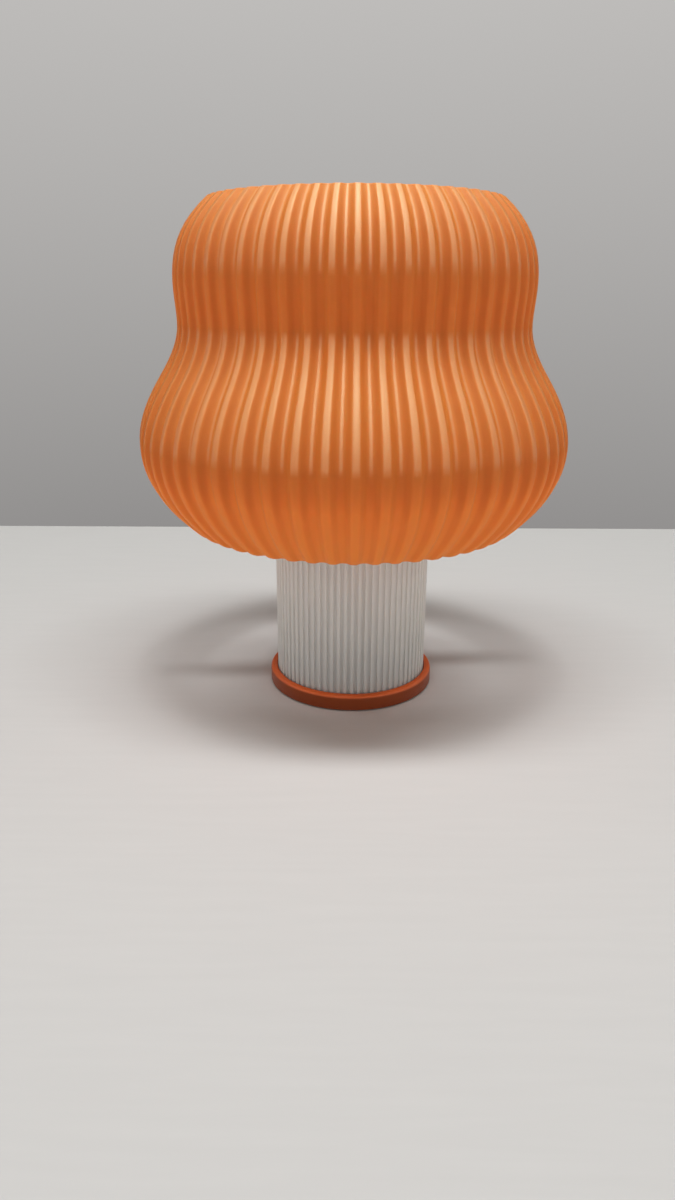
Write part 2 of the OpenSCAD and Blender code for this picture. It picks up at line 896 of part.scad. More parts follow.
module bulb_cap() {
    color("silver")
    translate([0, 0, bulb_cap_z])
        difference() {
            cylinder(r = bulb_cap_r, h = bulb_cap_l);
            translate([0, 0, bulb_cap_wall])
                cylinder(r = bulb_cap_r - bulb_cap_wall, h = bulb_cap_l);
            translate([0, 0, -1])
                cylinder(r = insulator_r + fit_gap, h = 2);
        }
}

module bulb_housing() {
    spigot_l = 6;
    foot_outer_r = bulb_cap_r + 0.7;
    swell_z = bulb_cap_top + 11;
    swell_r = foot_outer_r + 2.6;
    seat_r = light_board_r - 1.2;
    color("white")
    rotate_extrude()
        polygon([
            [bulb_hollow_r, bulb_cap_top - spigot_l],
            [housing_spigot_r, bulb_cap_top - spigot_l], [housing_spigot_r, bulb_cap_top],
            [foot_outer_r, bulb_cap_top], [foot_outer_r + 0.6, bulb_cap_top + 3],
            [swell_r, swell_z], [housing_top_r - 0.8, housing_top - 6],
            [housing_top_r, housing_top - 2], [housing_top_r, housing_top],
            [light_board_r + fit_gap, housing_top], [light_board_r + fit_gap, board_z],
            [seat_r, board_z], [seat_r, board_z - 1.5],
            [swell_r - housing_wall, swell_z + 1], [bulb_hollow_r, bulb_cap_top + 4]
        ]);
}

module driver_board() {
    half_w = bulb_hollow_r - 1.9;
    color("darkgreen")
    translate([-half_w, -driver_board_t / 2, driver_foot_z])
        cube([2 * half_w, driver_board_t, board_z - fit_gap - driver_foot_z]);
}

// Capacitor, transformer and rectifier on the driver board
module driver_parts() {
    face_y = driver_board_t / 2;
    color("darkslategray") {
        translate([-capacitor_r, face_y + capacitor_r, bulb_cap_top + 1])
            cylinder(r = capacitor_r, h = capacitor_h);
        translate([bulb_hollow_r - 2.4 - transformer.x, face_y, bulb_cap_top + 1])
            cube(transformer);
        translate([-rectifier.x / 2, -face_y - rectifier.y, (driver_foot_z + bulb_cap_top) / 2])
            cube(rectifier);
    }
}

module light_board() {
    color("lightgray")
    translate([0, 0, board_z])
        cylinder(r = light_board_r, h = light_board_t);
}

module light_chips() {
    color("khaki")
    for (i = [0 : chip_count - 1])
        rotate([0, 0, i * 360 / chip_count])
            translate([light_board_r - 6, -1.4, board_z + light_board_t])
                cube([3.4, 2.8, 0.7]);
}

module bulb_globe() {
    color("white")
    rotate_extrude()
        intersection() {
            difference() {
                translate([0, globe_z])
                    circle(r = globe_r);
                translate([0, globe_z])
                    circle(r = globe_r - globe_wall);
            }
            translate([0, housing_top])
                square([globe_r + 1, bulb_l]);
        }
}

// Shade

module shade_spider() {
    color([0.80, 0.33, 0.10])
    translate([0, 0, shade_z])
        difference() {
            union() {
                cylinder(r = hub_r, h = spider_t);
                translate([0, 0, -collar_depth])
                    cylinder(r = collar_r, h = collar_depth + 1);
                ring(rim_r, rim_r - rim_w, spider_t);
                for (i = [0 : spoke_count - 1])
                    rotate([0, 0, spoke_turn + i * 360 / spoke_count])
                        translate([collar_r, -spoke_w / 2, 0])
                            cube([rim_r - rim_w / 2 - collar_r, spoke_w, spider_t]);
            }
            translate([0, 0, -collar_depth - 1])
                cylinder(r = collar_bore_r, h = collar_depth + spider_t + 2);
        }
}

// Cubic curve between two stations, from their radii and slopes
function outline_r(a, b, t) =
    let (h = b[0] - a[0], u = 1 - t)
        (1 + 2 * t) * u * u * a[1] + t * u * u * h * a[2]
        + t * t * (3 - 2 * t) * b[1] - t * t * u * h * b[2];

// Height and radius of each level of the outline
function shade_levels() = concat(
    [
        for (i = [0 : len(station_steps) - 1], k = [0 : station_steps[i] - 1])
            let (a = stations[i], b = stations[i + 1], t = k / station_steps[i])
                [a[0] + t * (b[0] - a[0]), outline_r(a, b, t)]
    ],
    [[shade_h, mouth_d / 2]]
);

// The levels from one height to another, for one band of the shade
function band_levels(low, high) = [for (l = shade_levels()) if (l[0] >= low && l[0] <= high) l];

// One ring of points: each rib has two corners on its top and two at its foot.
// inset moves the ring inwards by a wall, with the sides of the ribs kept parallel.
function rib_ring(z, r, inset) =
    let (
        pitch = 360 / rib_count,
        depth = rib_share * r,
        side_w = rib_side_share * 2 * PI * r / rib_count,
        side_angle = atan2(depth, side_w),
        shift = inset * tan(side_angle / 2) * rib_count / (2 * PI * r),
        half_top = rib_top_share / 2 - shift,
        half_foot = rib_top_share / 2 + rib_side_share - shift
    )
    [
        for (i = [0 : rib_count - 1], c = [
            [-half_top, 0], [half_top, 0], [half_foot, depth], [1 - half_foot, depth]
        ])
            let (a = (i + c[0]) * pitch - 90, rr = r - c[1] - inset)
                [rr * cos(a), rr * sin(a), z]
    ];

// The wall of the shade from one height to another
module shade_band(low, high) {
    levels = band_levels(low, high);
    count = 4 * rib_count;
    n = len(levels);
    outer = [for (l = levels) each rib_ring(l[0], l[1], 0)];
    inner = [for (l = levels) each rib_ring(l[0], l[1], shade_wall)];
    start = n * count;
    faces = [
        for (i = [0 : n - 2], j = [0 : count - 1])
            let (k = (j + 1) % count, a = i * count, b = a + count)
                each [
                    [a + j, b + j, b + k], [a + j, b + k, a + k],
                    [start + a + j, start + b + k, start + b + j],
                    [start + a + j, start + a + k, start + b + k]
                ]
    ];
    rims = [
        for (j = [0 : count - 1])
            let (k = (j + 1) % count, t = (n - 1) * count)
                each [
                    [j, k, start + k], [j, start + k, start + j],
                    [t + j, start + t + j, start + t + k], [t + j, start + t + k, t + k]
                ]
    ];
    color([0.80, 0.33, 0.10])
        translate([0, 0, shade_z])
            polyhedron(concat(outer, inner), concat(faces, rims), convexity = 10);
}

// The shade in three bands that meet at its belly and at its waist
module shade_bowl() {
    shade_band(0, belly_h);
}

module shade_waist() {
    shade_band(belly_h, waist_h);
}

module shade_crown() {
    shade_band(waist_h, shade_h);
}

base_pad();
foot_ring();
foot_screws();
weight_plate();
weight_screws();
stem_foot();
stem_tube();
cord_bush();
terminal_housing();
terminal_tubes();
terminal_screws();
terminal_fixing_screw();
live_lead();
neutral_lead();
bare_wire_ends();
mounting_plate();
plate_screws();
holder_cap();
holder_core();
holder_terminals();
holder_terminal_screws();
grip_screw();
holder_sleeve();
screw_shell();
centre_contact();
clamp_ring();
bulb_contact();
bulb_insulator();
bulb_cap();
bulb_housing();
driver_board();
driver_parts();
light_board();
light_chips();
bulb_globe();
shade_spider();
shade_bowl();
shade_waist();
shade_crown();
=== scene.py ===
"""Dresses a ribbed table lamp: its shade, stem, foot and fittings, their finishes and the studio."""

import json
import math

import bmesh
import bpy
from bpy.props import FloatProperty, FloatVectorProperty, IntProperty, PointerProperty
from mathutils import Matrix, Vector


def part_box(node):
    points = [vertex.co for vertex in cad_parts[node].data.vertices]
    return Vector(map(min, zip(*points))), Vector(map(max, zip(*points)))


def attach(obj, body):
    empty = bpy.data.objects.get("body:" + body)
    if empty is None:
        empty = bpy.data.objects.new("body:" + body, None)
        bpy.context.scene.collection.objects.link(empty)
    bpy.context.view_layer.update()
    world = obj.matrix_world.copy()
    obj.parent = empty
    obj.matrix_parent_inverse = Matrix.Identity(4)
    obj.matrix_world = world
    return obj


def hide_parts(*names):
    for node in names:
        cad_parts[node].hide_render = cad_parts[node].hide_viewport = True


bl_info = {
    "name": "Ribbed Table Lamp",
    "version": (1, 0, 0),
    "blender": (4, 5, 0),
    "location": "View3D > Sidebar > Lamp",
    "description": "Builds the pieces, finishes, camera and studio of a ribbed table lamp",
    "category": "Object",
}

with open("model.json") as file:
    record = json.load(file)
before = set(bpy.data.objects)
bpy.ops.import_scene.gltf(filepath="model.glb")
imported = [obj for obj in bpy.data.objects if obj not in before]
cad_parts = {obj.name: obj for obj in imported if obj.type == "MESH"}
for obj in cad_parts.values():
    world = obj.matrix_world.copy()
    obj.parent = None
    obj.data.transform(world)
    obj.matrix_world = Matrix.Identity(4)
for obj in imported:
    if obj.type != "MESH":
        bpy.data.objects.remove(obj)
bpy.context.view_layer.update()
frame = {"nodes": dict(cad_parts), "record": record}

SHADE_BANDS = ("shade_bowl", "shade_waist", "shade_crown")
SHADE_LOW, SHADE_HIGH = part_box("shade_bowl")[0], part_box("shade_crown")[1]
STEM_LENGTHS = ("stem_foot", "stem_tube")
STEM_LOW, STEM_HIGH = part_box("stem_foot")[0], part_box("stem_tube")[1]
MM = 0.001
FULL_TURN = 2 * math.pi


def linear(level):
    """A level from 0 to 255 as the linear value that a shader takes."""
    part = level / 255
    return part / 12.92 if part <= 0.04045 else ((part + 0.055) / 1.055) ** 2.4


def srgb(red, green, blue):
    """A colour written in 0 to 255, as linear values."""
    return linear(red), linear(green), linear(blue)


def toned(tint, gain, lift=0.0):
    """A colour with one gain, or with one for each of red, green and blue."""
    gains = gain if isinstance(gain, tuple) else (gain,) * 3
    return tuple(min(1, g * c + lift) for g, c in zip(gains, tint))


# Sizes and colours


def number(name, description, default, **limits):
    return FloatProperty(name=name, description=description, default=default, **limits)


def length(name, description, default):
    return number(name, description, default, min=0, unit="LENGTH", subtype="DISTANCE", precision=5)


def angle(name, description, degrees):
    return number(name, description, math.radians(degrees), subtype="ANGLE")


def share(name, description, default, most=1.0):
    return number(name, description, default, min=0, max=most, subtype="FACTOR")


def count(name, description, default, least=1):
    return IntProperty(name=name, description=description, default=default, min=least)


def colour(name, description, default):
    return FloatVectorProperty(name=name, description=description, default=default, size=3, min=0, max=1,
                               subtype="COLOR")


class ShadeSizes(bpy.types.PropertyGroup):
    """Outline and ribs of the shade"""

    foot_z: length("Foot Level", "Height of the foot of the shade above the table", SHADE_LOW.z)
    height: length("Height", "Height of the shade", SHADE_HIGH.z - SHADE_LOW.z)
    foot_radius: length("Foot Radius", "Outer radius at the foot", 0.0739)
    foot_slope: number("Foot Slope", "Widening per height at the foot", 1.25)
    belly_height: length("Belly Height", "Height of the belly above the foot", 0.0385)
    belly_radius: length("Belly Radius", "Largest outer radius", 0.096)
    shoulder_height: length("Shoulder Height", "Height where the outline turns hollow", 0.067)
    shoulder_radius: length("Shoulder Radius", "Outer radius at the shoulder", 0.0853)
    shoulder_slope: number("Shoulder Slope", "Widening per height there", -0.645)
    waist_height: length("Waist Height", "Height of the waist above the foot", 0.0885)
    waist_radius: length("Waist Radius", "Outer radius at the waist", 0.0768)
    crown_height: length("Crown Height", "Height of the crown above the foot", 0.105)
    crown_radius: length("Crown Radius", "Outer radius at the crown", 0.07775)
    mouth_radius: length("Mouth Radius", "Outer radius at the mouth", 0.0621)
    mouth_slope: number("Mouth Slope", "Widening per height at the mouth", -1.2)
    rib_count: count("Ribs", "Number of ribs round the shade", 54, least=3)
    rib_depth: share("Rib Depth", "Depth of a rib as a share of the radius", 0.029, most=0.1)
    rib_turn: number("Rib Turn", "Turn of the ribs as a share of their pitch", 0.04)
    wall: length("Wall", "Wall of the shade", 0.0012)
    hem: length("Hem", "Height of the turned-in lower edge", 0.0022)
    level_step: length("Level Step", "Distance between the rings of the mesh", 0.0032)


class FittingSizes(bpy.types.PropertyGroup):
    """Threads, walls and chips of the fittings"""

    thread_pitch: length("Cap Thread Pitch", "Pitch of the thread of the cap and the shell", 0.00362)
    thread_depth: length("Cap Thread Depth", "Depth of that thread", 0.0007)
    cap_wall: length("Cap Wall", "Wall of the cap of the bulb", 0.0006)
    globe_wall: length("Globe Wall", "Wall of the globe of the bulb", 0.0012)
    shell_wall: length("Shell Wall", "Wall of the screw shell", 0.0005)
    shell_floor: length("Shell Floor", "Thickness of the floor of the screw shell", 0.0006)
    body_radius: length("Holder Radius", "Outer radius of the lampholder", 0.0215)
    spigot_radius: length("Spigot Bore", "Radius of the lower bore of the sleeve", 0.0206)
    flange: length("Flange", "Thickness of the flange under the mounting plate", 0.0025)
    sleeve_radius: length("Sleeve Radius", "Outer radius of the threaded sleeve", 0.01975)
    sleeve_bore: length("Sleeve Bore", "Radius of the bore of the sleeve", 0.017)
    sleeve_pitch: length("Sleeve Pitch", "Pitch of the thread of the sleeve", 0.0025)
    sleeve_depth: length("Sleeve Thread Depth", "Depth of the thread of the sleeve", 0.0006)
    chip_count: count("Chips", "Number of light chips", 12)
    chip_length: length("Chip Length", "Length of a light chip, outwards", 0.0034)
    chip_width: length("Chip Width", "Width of a light chip", 0.0028)


class LampColours(bpy.types.PropertyGroup):
    """Colours of the main finishes"""

    shade: colour("Shade", "Printed plastic of the shade", srgb(219, 119, 49))
    # The foot's tint is the darker tone of its sides; its lit top is painted lighter in finish_printed.
    foot: colour("Foot", "Printed plastic of the foot ring", srgb(144, 63, 22))
    # The stem's two colours make painted light and shade: darker at its foot, paler and warmer at its head.
    stem: colour("Stem", "Printed plastic at the foot of the stem", srgb(194, 196, 197))
    stem_head: colour("Stem Head", "Printed plastic at the head of the stem", srgb(238, 233, 228))
    holder: colour("Lampholder", "Moulded plastic of the lampholder", srgb(22, 22, 23))
    globe: colour("Globe", "Opal globe of the bulb", srgb(246, 245, 241))
    floor: colour("Floor", "Table under the lamp", srgb(202, 203, 204))
    wall_top: colour("Backdrop Top", "Backdrop at the top of the picture", srgb(190, 188, 186))
    wall_foot: colour("Backdrop Foot", "Backdrop behind the edge of the table", srgb(145, 143, 142))


class StudioSizes(bpy.types.PropertyGroup):
    """Camera, table and lights"""

    distance: length("Distance", "Distance of the camera in front of the lamp", 0.394)
    camera_height: length("Camera Height", "Height of the camera above the table", 0.186)
    camera_shift: length("Camera Shift", "Distance of the camera to the left of the lamp", 0.00679)
    pitch: angle("Pitch", "How far the camera looks down", 20.27)
    roll: angle("Roll", "Turn of the camera about its own axis", 0.28)
    lens: number("Lens", "Focal length of the camera", 25.56, unit="CAMERA")
    sensor: number("Sensor", "Width of the sensor of the camera", 36, unit="CAMERA")
    table_reach: length("Table Reach", "Distance of the front and side edges of the table", 2.5)
    table_rear: length("Table Rear", "Distance of the rear edge of the table behind the lamp", 0.281)
    panel_width: length("Panel Width", "Width of the wide light panel, from left to right", 1.15)
    panel_depth: length("Panel Depth", "Depth of both light panels, from front to rear", 0.22)
    panel_height: length("Panel Height", "Height of the light panels above the point they face", 1.3)
    panel_aim: length("Panel Aim", "Height above the table of the point that the panels face", 0.08)
    panel_tilt: angle("Panel Tilt", "How far in front of upright the panels hang", 9.5)
    panel_power: number("Panel Power", "Power of both light panels", 16.6, unit="POWER")
    square_share: share("Square Panel", "Share of the light that the square panel gives", 0.22)
    fill: number("Fill", "Strength of the even light from all round", 0.02, min=0)
    side_fill: number("Side Fill", "Further light from the front and both sides", 0.58, min=0)
    glow: number("Glow", "Brightness of the ceiling in reflections", 4.4, min=0)


def own_properties(group):
    """The sizes or colours that a group adds to Blender's own properties."""
    return [p for p in group.bl_rna.properties if p.identifier not in {"rna_type", "name"}]


# Nodes


class Wire:
    """A socket whose sums are written as nodes."""

    def __init__(self, net, socket):
        self.net = net
        self.socket = socket

    def combine(self, operation, *terms):
        """A sum of plain values. Colours go through a blend instead."""
        return self.net.node("ShaderNodeMath", {"operation": operation}, dict(enumerate(terms)))

    def __add__(self, other):
        return self.combine("ADD", self, other)

    def __radd__(self, other):
        return self.combine("ADD", other, self)

    def __sub__(self, other):
        return self.combine("SUBTRACT", self, other)

    def __rsub__(self, other):
        return self.combine("SUBTRACT", other, self)

    def __mul__(self, other):
        return self.combine("MULTIPLY", self, other)

    def __rmul__(self, other):
        return self.combine("MULTIPLY", other, self)

    def __truediv__(self, other):
        return self.combine("DIVIDE", self, other)

    def __rtruediv__(self, other):
        return self.combine("DIVIDE", other, self)

    def __mod__(self, other):
        return self.combine("FLOORED_MODULO", self, other)

    def __gt__(self, other):
        return self.combine("GREATER_THAN", self, other)

    def __lt__(self, other):
        return self.combine("LESS_THAN", self, other)

    def sin(self):
        return self.combine("SINE", self)

    def cos(self):
        return self.combine("COSINE", self)

    def abs(self):
        return self.combine("ABSOLUTE", self)

    def low(self, other):
        return self.combine("MINIMUM", self, other)

    def high(self, other):
        return self.combine("MAXIMUM", self, other)

    def clamp(self):
        return self.high(0.0).low(1.0)

    def between(self, start, end):
        """0 up to the start, 1 from the end on, and a straight rise from one to the other."""
        return ((self - start) / (end - start)).clamp()

    def out(self, name):
        """Another output of the same node."""
        return Wire(self.net, self.socket.node.outputs[name])


class Net:
    """Adds the nodes of one tree, each by a single call."""

    def __init__(self, tree):
        self.tree = tree

    def node(self, kind, settings=None, inputs=None):
        """The first output of a new node, made with its settings and then its values or links."""
        made = self.tree.nodes.new(kind)
        for name, value in (settings or {}).items():
            if name == "points":
                self.set_points(made.mapping, value)
            else:
                setattr(made, name, value)
        for key, value in (inputs or {}).items():
            socket = made.inputs[key] if isinstance(key, int) else self.find(made.inputs, key)
            if isinstance(value, Wire):
                self.tree.links.new(value.socket, socket)
            elif socket.type == "RGBA" and len(value) == 3:
                socket.default_value = (*value, 1)
            else:
                socket.default_value = value
        return Wire(self, next((s for s in made.outputs if s.enabled), None))

    @staticmethod
    def find(sockets, name):
        """The socket of a name or an identifier, among those that the settings leave in use."""
        return next(s for s in sockets if s.enabled and name in (s.name, s.identifier))

    @staticmethod
    def set_points(mapping, points):
        """Draws the curve of a node through points."""
        line = mapping.curves[0].points
        while len(line) < len(points):
            line.new(0.5, 0.5)
        for point, place in zip(line, points):
            point.location = place
            point.handle_type = "AUTO_CLAMPED"
        mapping.update()

    def mix(self, factor, first, second):
        """A blend of two colours."""
        return self.node("ShaderNodeMix", {"data_type": "RGBA"},
                         {"Factor_Float": factor, "A_Color": first, "B_Color": second})

    def xyz(self, wire):
        """The three parts of a vector."""
        parts = self.node("ShaderNodeSeparateXYZ", None, {0: wire})
        return [parts.out(axis) for axis in "XYZ"]

    def vector(self, x, y, z):
        """A vector from its three parts."""
        return self.node("ShaderNodeCombineXYZ", None, {"X": x, "Y": y, "Z": z})


class Finish(Net):
    """One material, with its patterns on object coordinates."""

    def __init__(self, name):
        material = bpy.data.materials.new(name)
        material.use_nodes = True
        material.node_tree.nodes.clear()
        super().__init__(material.node_tree)
        self.material = material
        self.place = self.node("ShaderNodeTexCoord").out("Object")

    def scaled(self, size, stretch):
        """The place counted in grains of a size in metres, longer by stretch."""
        scale = tuple(1 / (size * s) for s in stretch)
        return self.node("ShaderNodeMapping", None, {"Vector": self.place, "Scale": scale})

    def noise(self, size, stretch=(1, 1, 1), detail=3.0):
        """Noise from 0 to 1 with grains of a size in metres, longer by stretch."""
        place = self.scaled(size, stretch)
        return self.node("ShaderNodeTexNoise", None,
                         {"Vector": place, "Scale": 1.0, "Detail": detail, "Roughness": 0.55})

    def cells(self, size, feature="F1"):
        """The distance from the middle of a cell of a size in metres, or from its edge."""
        place = self.scaled(size, (1, 1, 1))
        return self.node("ShaderNodeTexVoronoi", {"feature": feature}, {"Vector": place, "Scale": 1.0})

    def relief(self, height, depth):
        """A bump of a depth in metres for a height from 0 to 1."""
        return self.node("ShaderNodeBump", None, {"Height": height, "Distance": depth})

    def lean(self):
        """How far the surface faces up: 1 on a level top, 0 on an upright wall and -1 underneath."""
        return self.xyz(self.node("ShaderNodeNewGeometry").out("Normal"))[2]

    def shader(self, **inputs):
        """A surface shader, its inputs named by their sockets."""
        named = {key.replace("_", " "): value for key, value in inputs.items()}
        return self.node("ShaderNodeBsdfPrincipled", None, named)

    def end(self, shader):
        self.node("ShaderNodeOutputMaterial", None, {"Surface": shader})
        return self.material

    def surface(self, **inputs):
        """Ends the material in one surface shader."""
        return self.end(self.shader(**inputs))


# Finishes

# Height of a printed layer, and how far its edge stands out
LAYER = 0.2 * MM
LAYER_RELIEF = 0.012 * MM
# How far light spreads in milky plastic: red, green and blue as shares of its reach
MILKY_SPREAD = (1.0, 1.0, 0.9)


def layered(f, tint):
    """Colour, grain and relief of plastic laid down in fine level layers."""
    z = f.xyz(f.place)[2]
    wander = f.noise(6 * MM, (1, 1, 0.05), 2.0)
    layers = (z * (FULL_TURN / LAYER) + wander * 2.0).sin() * 0.5 + 0.5
    grain = f.noise(0.35 * MM, (6, 6, 0.6))
    cloud = f.noise(18 * MM, (1, 1, 0.5), 2.0)
    body = f.mix((cloud * 0.5 + grain * 0.5).clamp(), toned(tint, 0.86), toned(tint, 1.05, 0.004))
    return body, grain, f.relief(layers * 0.8 + grain * 0.2, LAYER_RELIEF)


def finish_printed(name, tint, rough, light_through, reach, spread, top=1.0, head=None):
    """Layered plastic, with a painted highlight as a gain on its tint where it faces up, and painted light as
    another colour at the stem's head.
    """
    f = Finish(name)
    body, grain, relief = layered(f, tint)
    if head:
        # Painted light and shade: the stem darkens towards its foot and turns paler and warmer towards its
        # head.
        body = f.mix(f.xyz(f.place)[2].between(STEM_LOW.z, STEM_HIGH.z), body, head)
    # Painted light: faces that look up get a gain on the tint, which lightens the foot ring's top.
    body = f.mix(f.lean().between(0.1, 0.6), body, toned(tint, top))
    return f.surface(Base_Color=body, Roughness=(rough - 0.03 + grain * 0.06).clamp(), Normal=relief,
                     Subsurface_Weight=light_through, Subsurface_Radius=spread, Subsurface_Scale=reach,
                     Specular_IOR_Level=0.3, IOR=1.46)


def finish_silky(name, tint):
    """Layered plastic with silky streaks across its layers, where a wall faces up and isn't a rib's flank,
    and with painted light and shade in its colour.
    """
    f = Finish(name)
    body, grain, relief = layered(f, tint)
    lean = f.lean()
    flank = f.node("ShaderNodeAttribute", {"attribute_name": "flank"}).out("Fac")
    pale, painted_top_light, deep = toned(tint, (1.65, 1.4, 1.5)), toned(tint, (0.84, 1.06, 0.95)), toned(tint, 0.5)
    # Painted light: walls that face down are lightened, for light through the thin wall and off the table.
    body = f.mix(lean.between(0.04, -0.32), body, pale)
    # Painted light: walls that face up get a more golden tint, as their lit tops show.
    body = f.mix((lean * 1.4).clamp(), body, painted_top_light)
    # Painted shade: the ribs' flanks are darkened a little, for shade in the grooves.
    body = f.mix(flank * flank * flank * 0.1, body, deep)
    common = {"Base_Color": body, "Normal": relief, "Subsurface_Weight": 0.6,
              "Subsurface_Radius": (1.0, 0.5, 0.2), "Subsurface_Scale": 1.0 * MM, "IOR": 1.5}
    dull = f.shader(Roughness=(grain * 0.1 + 0.55).clamp(), Specular_IOR_Level=0.18, **common)
    silky = f.shader(Roughness=(grain * 0.06 + 0.34).clamp(), Specular_IOR_Level=0.9, Anisotropic=0.98,
                     Anisotropic_Rotation=0.25, Specular_Tint=(0.9, 1.0, 0.72, 1.0), **common)
    sheen = lean.between(0.03, 0.13) * (1.0 - flank.between(0.18, 0.5) * 0.9)
    return f.end(f.node("ShaderNodeMixShader", None, {"Fac": sheen, 1: dull, 2: silky}))


def finish_moulded(name, tint, rough, grain_size=0.12 * MM, depth=0.004 * MM, **more):
    """Moulded plastic or ceramic with a fine skin and faint flow marks."""
    f = Finish(name)
    skin = f.noise(grain_size, detail=4.0)
    flow = f.noise(9 * MM, (1, 1, 2.5), 2.0)
    body = f.mix(flow, toned(tint, 0.85), toned(tint, 1.1, 0.002))
    return f.surface(Base_Color=body, Roughness=(rough - 0.08 + flow * 0.1 + skin * 0.08).clamp(),
                     Normal=f.relief(skin, depth), IOR=1.5, **more)


def finish_metal(name, tint, rough, marks=(1, 1, 1)):
    """Metal with fine working marks and a little tarnish."""
    f = Finish(name)
    scratches = f.noise(0.08 * MM, marks)
    bloom = f.noise(3.5 * MM, detail=4.0)
    tarnish = (bloom * 0.5 - 0.125).clamp()
    body = f.mix(tarnish, tint, toned(tint, 0.72))
    return f.surface(Base_Color=body, Metallic=1.0, Normal=f.relief(scratches, 0.003 * MM),
                     Roughness=(rough - 0.1 + scratches * 0.12 + bloom * 0.12).clamp())


def finish_foam(name, tint):
    """Closed-cell foam rubber with open pores on its cut faces."""
    f = Finish(name)
    grain = f.noise(0.15 * MM)
    pores = (f.cells(0.5 * MM) * 1.6).clamp()
    body = f.mix(pores, toned(tint, 0.45), tint)
    return f.surface(Base_Color=body, Roughness=(0.8 + grain * 0.15).clamp(),
                     Normal=f.relief(pores, 0.12 * MM), IOR=1.45)


def finish_strands(name, tint):
    """Twisted bare strands."""
    f = Finish(name)
    x, y, z = f.xyz(f.place)
    strand = 0.42 * MM
    twist = ((x + y * 0.7 + z * 1.3) * (FULL_TURN / strand)).sin() * 0.5 + 0.5
    bloom = f.noise(1.5 * MM)
    body = f.mix(bloom, tint, toned(tint, 0.6))
    return f.surface(Base_Color=body, Metallic=1.0, Roughness=(0.25 + bloom * 0.2).clamp(),
                     Normal=f.relief(twist, 0.06 * MM))


def finish_board(name, tint):
    """Lacquered circuit board with faint tracks under the lacquer."""
    f = Finish(name)
    tracks = f.cells(2.4 * MM, feature="DISTANCE_TO_EDGE") < 0.08
    weave = f.noise(0.25 * MM, detail=2.0)
    body = f.mix(tracks * 0.5, tint, toned(tint, 1.5, 0.02))
    return f.surface(Base_Color=body, Roughness=(0.28 + weave * 0.15).clamp(), Coat_Weight=0.4,
                     Coat_Roughness=0.15, Normal=f.relief(tracks * 0.6 + weave * 0.2, 0.03 * MM))


def finish_opal(name, tint):
    """Opal diffuser, satin outside and cloudy within."""
    f = Finish(name)
    skin = f.noise(0.2 * MM)
    cloud = f.noise(14 * MM, detail=2.0)
    body = f.mix(cloud, toned(tint, 0.96), tint)
    return f.surface(Base_Color=body, Roughness=(0.32 + skin * 0.1).clamp(), IOR=1.49,
                     Normal=f.relief(skin, 0.003 * MM), Subsurface_Weight=0.6,
                     Subsurface_Radius=MILKY_SPREAD, Subsurface_Scale=3 * MM)


def finish_table(name, tint):
    """Dull painted board with a faint grain from front to rear."""
    f = Finish(name)
    grain = f.noise(4 * MM, (12, 1, 1), 4.0)
    body = f.mix(grain, toned(tint, 0.97), toned(tint, 1.03))
    return f.surface(Base_Color=body, Roughness=(0.55 + grain * 0.1).clamp(), Specular_IOR_Level=0.1,
                     Normal=f.relief(grain, 0.01 * MM))


def make_finishes():
    """Every finish of the lamp, by the slot that the record gives it."""
    tints = bpy.context.scene.lamp_colours
    return {
        "shade_plastic": finish_silky("layered orange shade", tuple(tints.shade)),
        # top paints the foot ring's upward faces lighter, and head paints light at the stem's head.
        "orange_plastic": finish_printed("layered orange foot", tuple(tints.foot), 0.4, light_through=0.2,
                                         reach=1.2 * MM, spread=(1.0, 0.4, 0.15), top=2.2),
        "white_plastic": finish_printed("layered pale stem", tuple(tints.stem), 0.5, light_through=0.8,
                                        reach=3.5 * MM, spread=(1.0, 0.95, 0.85),
                                        head=tuple(tints.stem_head)),
        "pad_rubber": finish_foam("foam rubber", srgb(62, 61, 60)),
        "black_rubber": finish_moulded("black rubber", srgb(32, 32, 33), 0.62),
        "steel": finish_metal("zinc plated steel", srgb(196, 198, 202), 0.34),
        "weight_steel": finish_metal("blued steel plate", srgb(96, 99, 104), 0.5, marks=(8, 1, 1)),
        "brass": finish_metal("pressed brass", srgb(214, 176, 96), 0.3),
        "copper": finish_strands("stranded copper", srgb(205, 126, 86)),
        "solder": finish_metal("tinned contact", srgb(190, 191, 193), 0.38),
        "clear_nylon": finish_moulded("milky nylon", srgb(223, 225, 217), 0.3, Subsurface_Weight=0.7,
                                      Subsurface_Radius=MILKY_SPREAD, Subsurface_Scale=4 * MM),
        "brown_insulation": finish_moulded("brown insulation", srgb(104, 62, 38), 0.38),
        "blue_insulation": finish_moulded("blue insulation", srgb(44, 98, 176), 0.38),
        "holder_plastic": finish_moulded("black moulding", tuple(tints.holder), 0.32),
        "core_ceramic": finish_moulded("unglazed ceramic", srgb(233, 230, 221), 0.72, grain_size=0.3 * MM,
                                       depth=0.012 * MM),
        "bulb_black": finish_moulded("black glass", srgb(16, 16, 18), 0.12),
        "bulb_cap_metal": finish_metal("rolled nickel cap", srgb(206, 205, 201), 0.24, marks=(6, 6, 1)),
        "bulb_white": finish_moulded("white housing", srgb(238, 237, 233), 0.36),
        "opal_globe": finish_opal("opal globe", tuple(tints.globe)),
        "board_green": finish_board("green circuit board", srgb(38, 98, 62)),
        "board_parts": finish_moulded("driver parts", srgb(46, 52, 62), 0.4),
        "board_white": finish_board("white circuit board", srgb(232, 233, 232)),
        "chip_yellow": finish_moulded("phosphor chips", srgb(232, 214, 96), 0.45, grain_size=0.25 * MM,
                                      depth=0.01 * MM),
    }


FINISHES = {}


def slot_of(node):
    """The material slot that the record gives a CAD node."""
    return next(p["material_slot"] for p in frame["record"]["subparts"] if p["node"] == node)


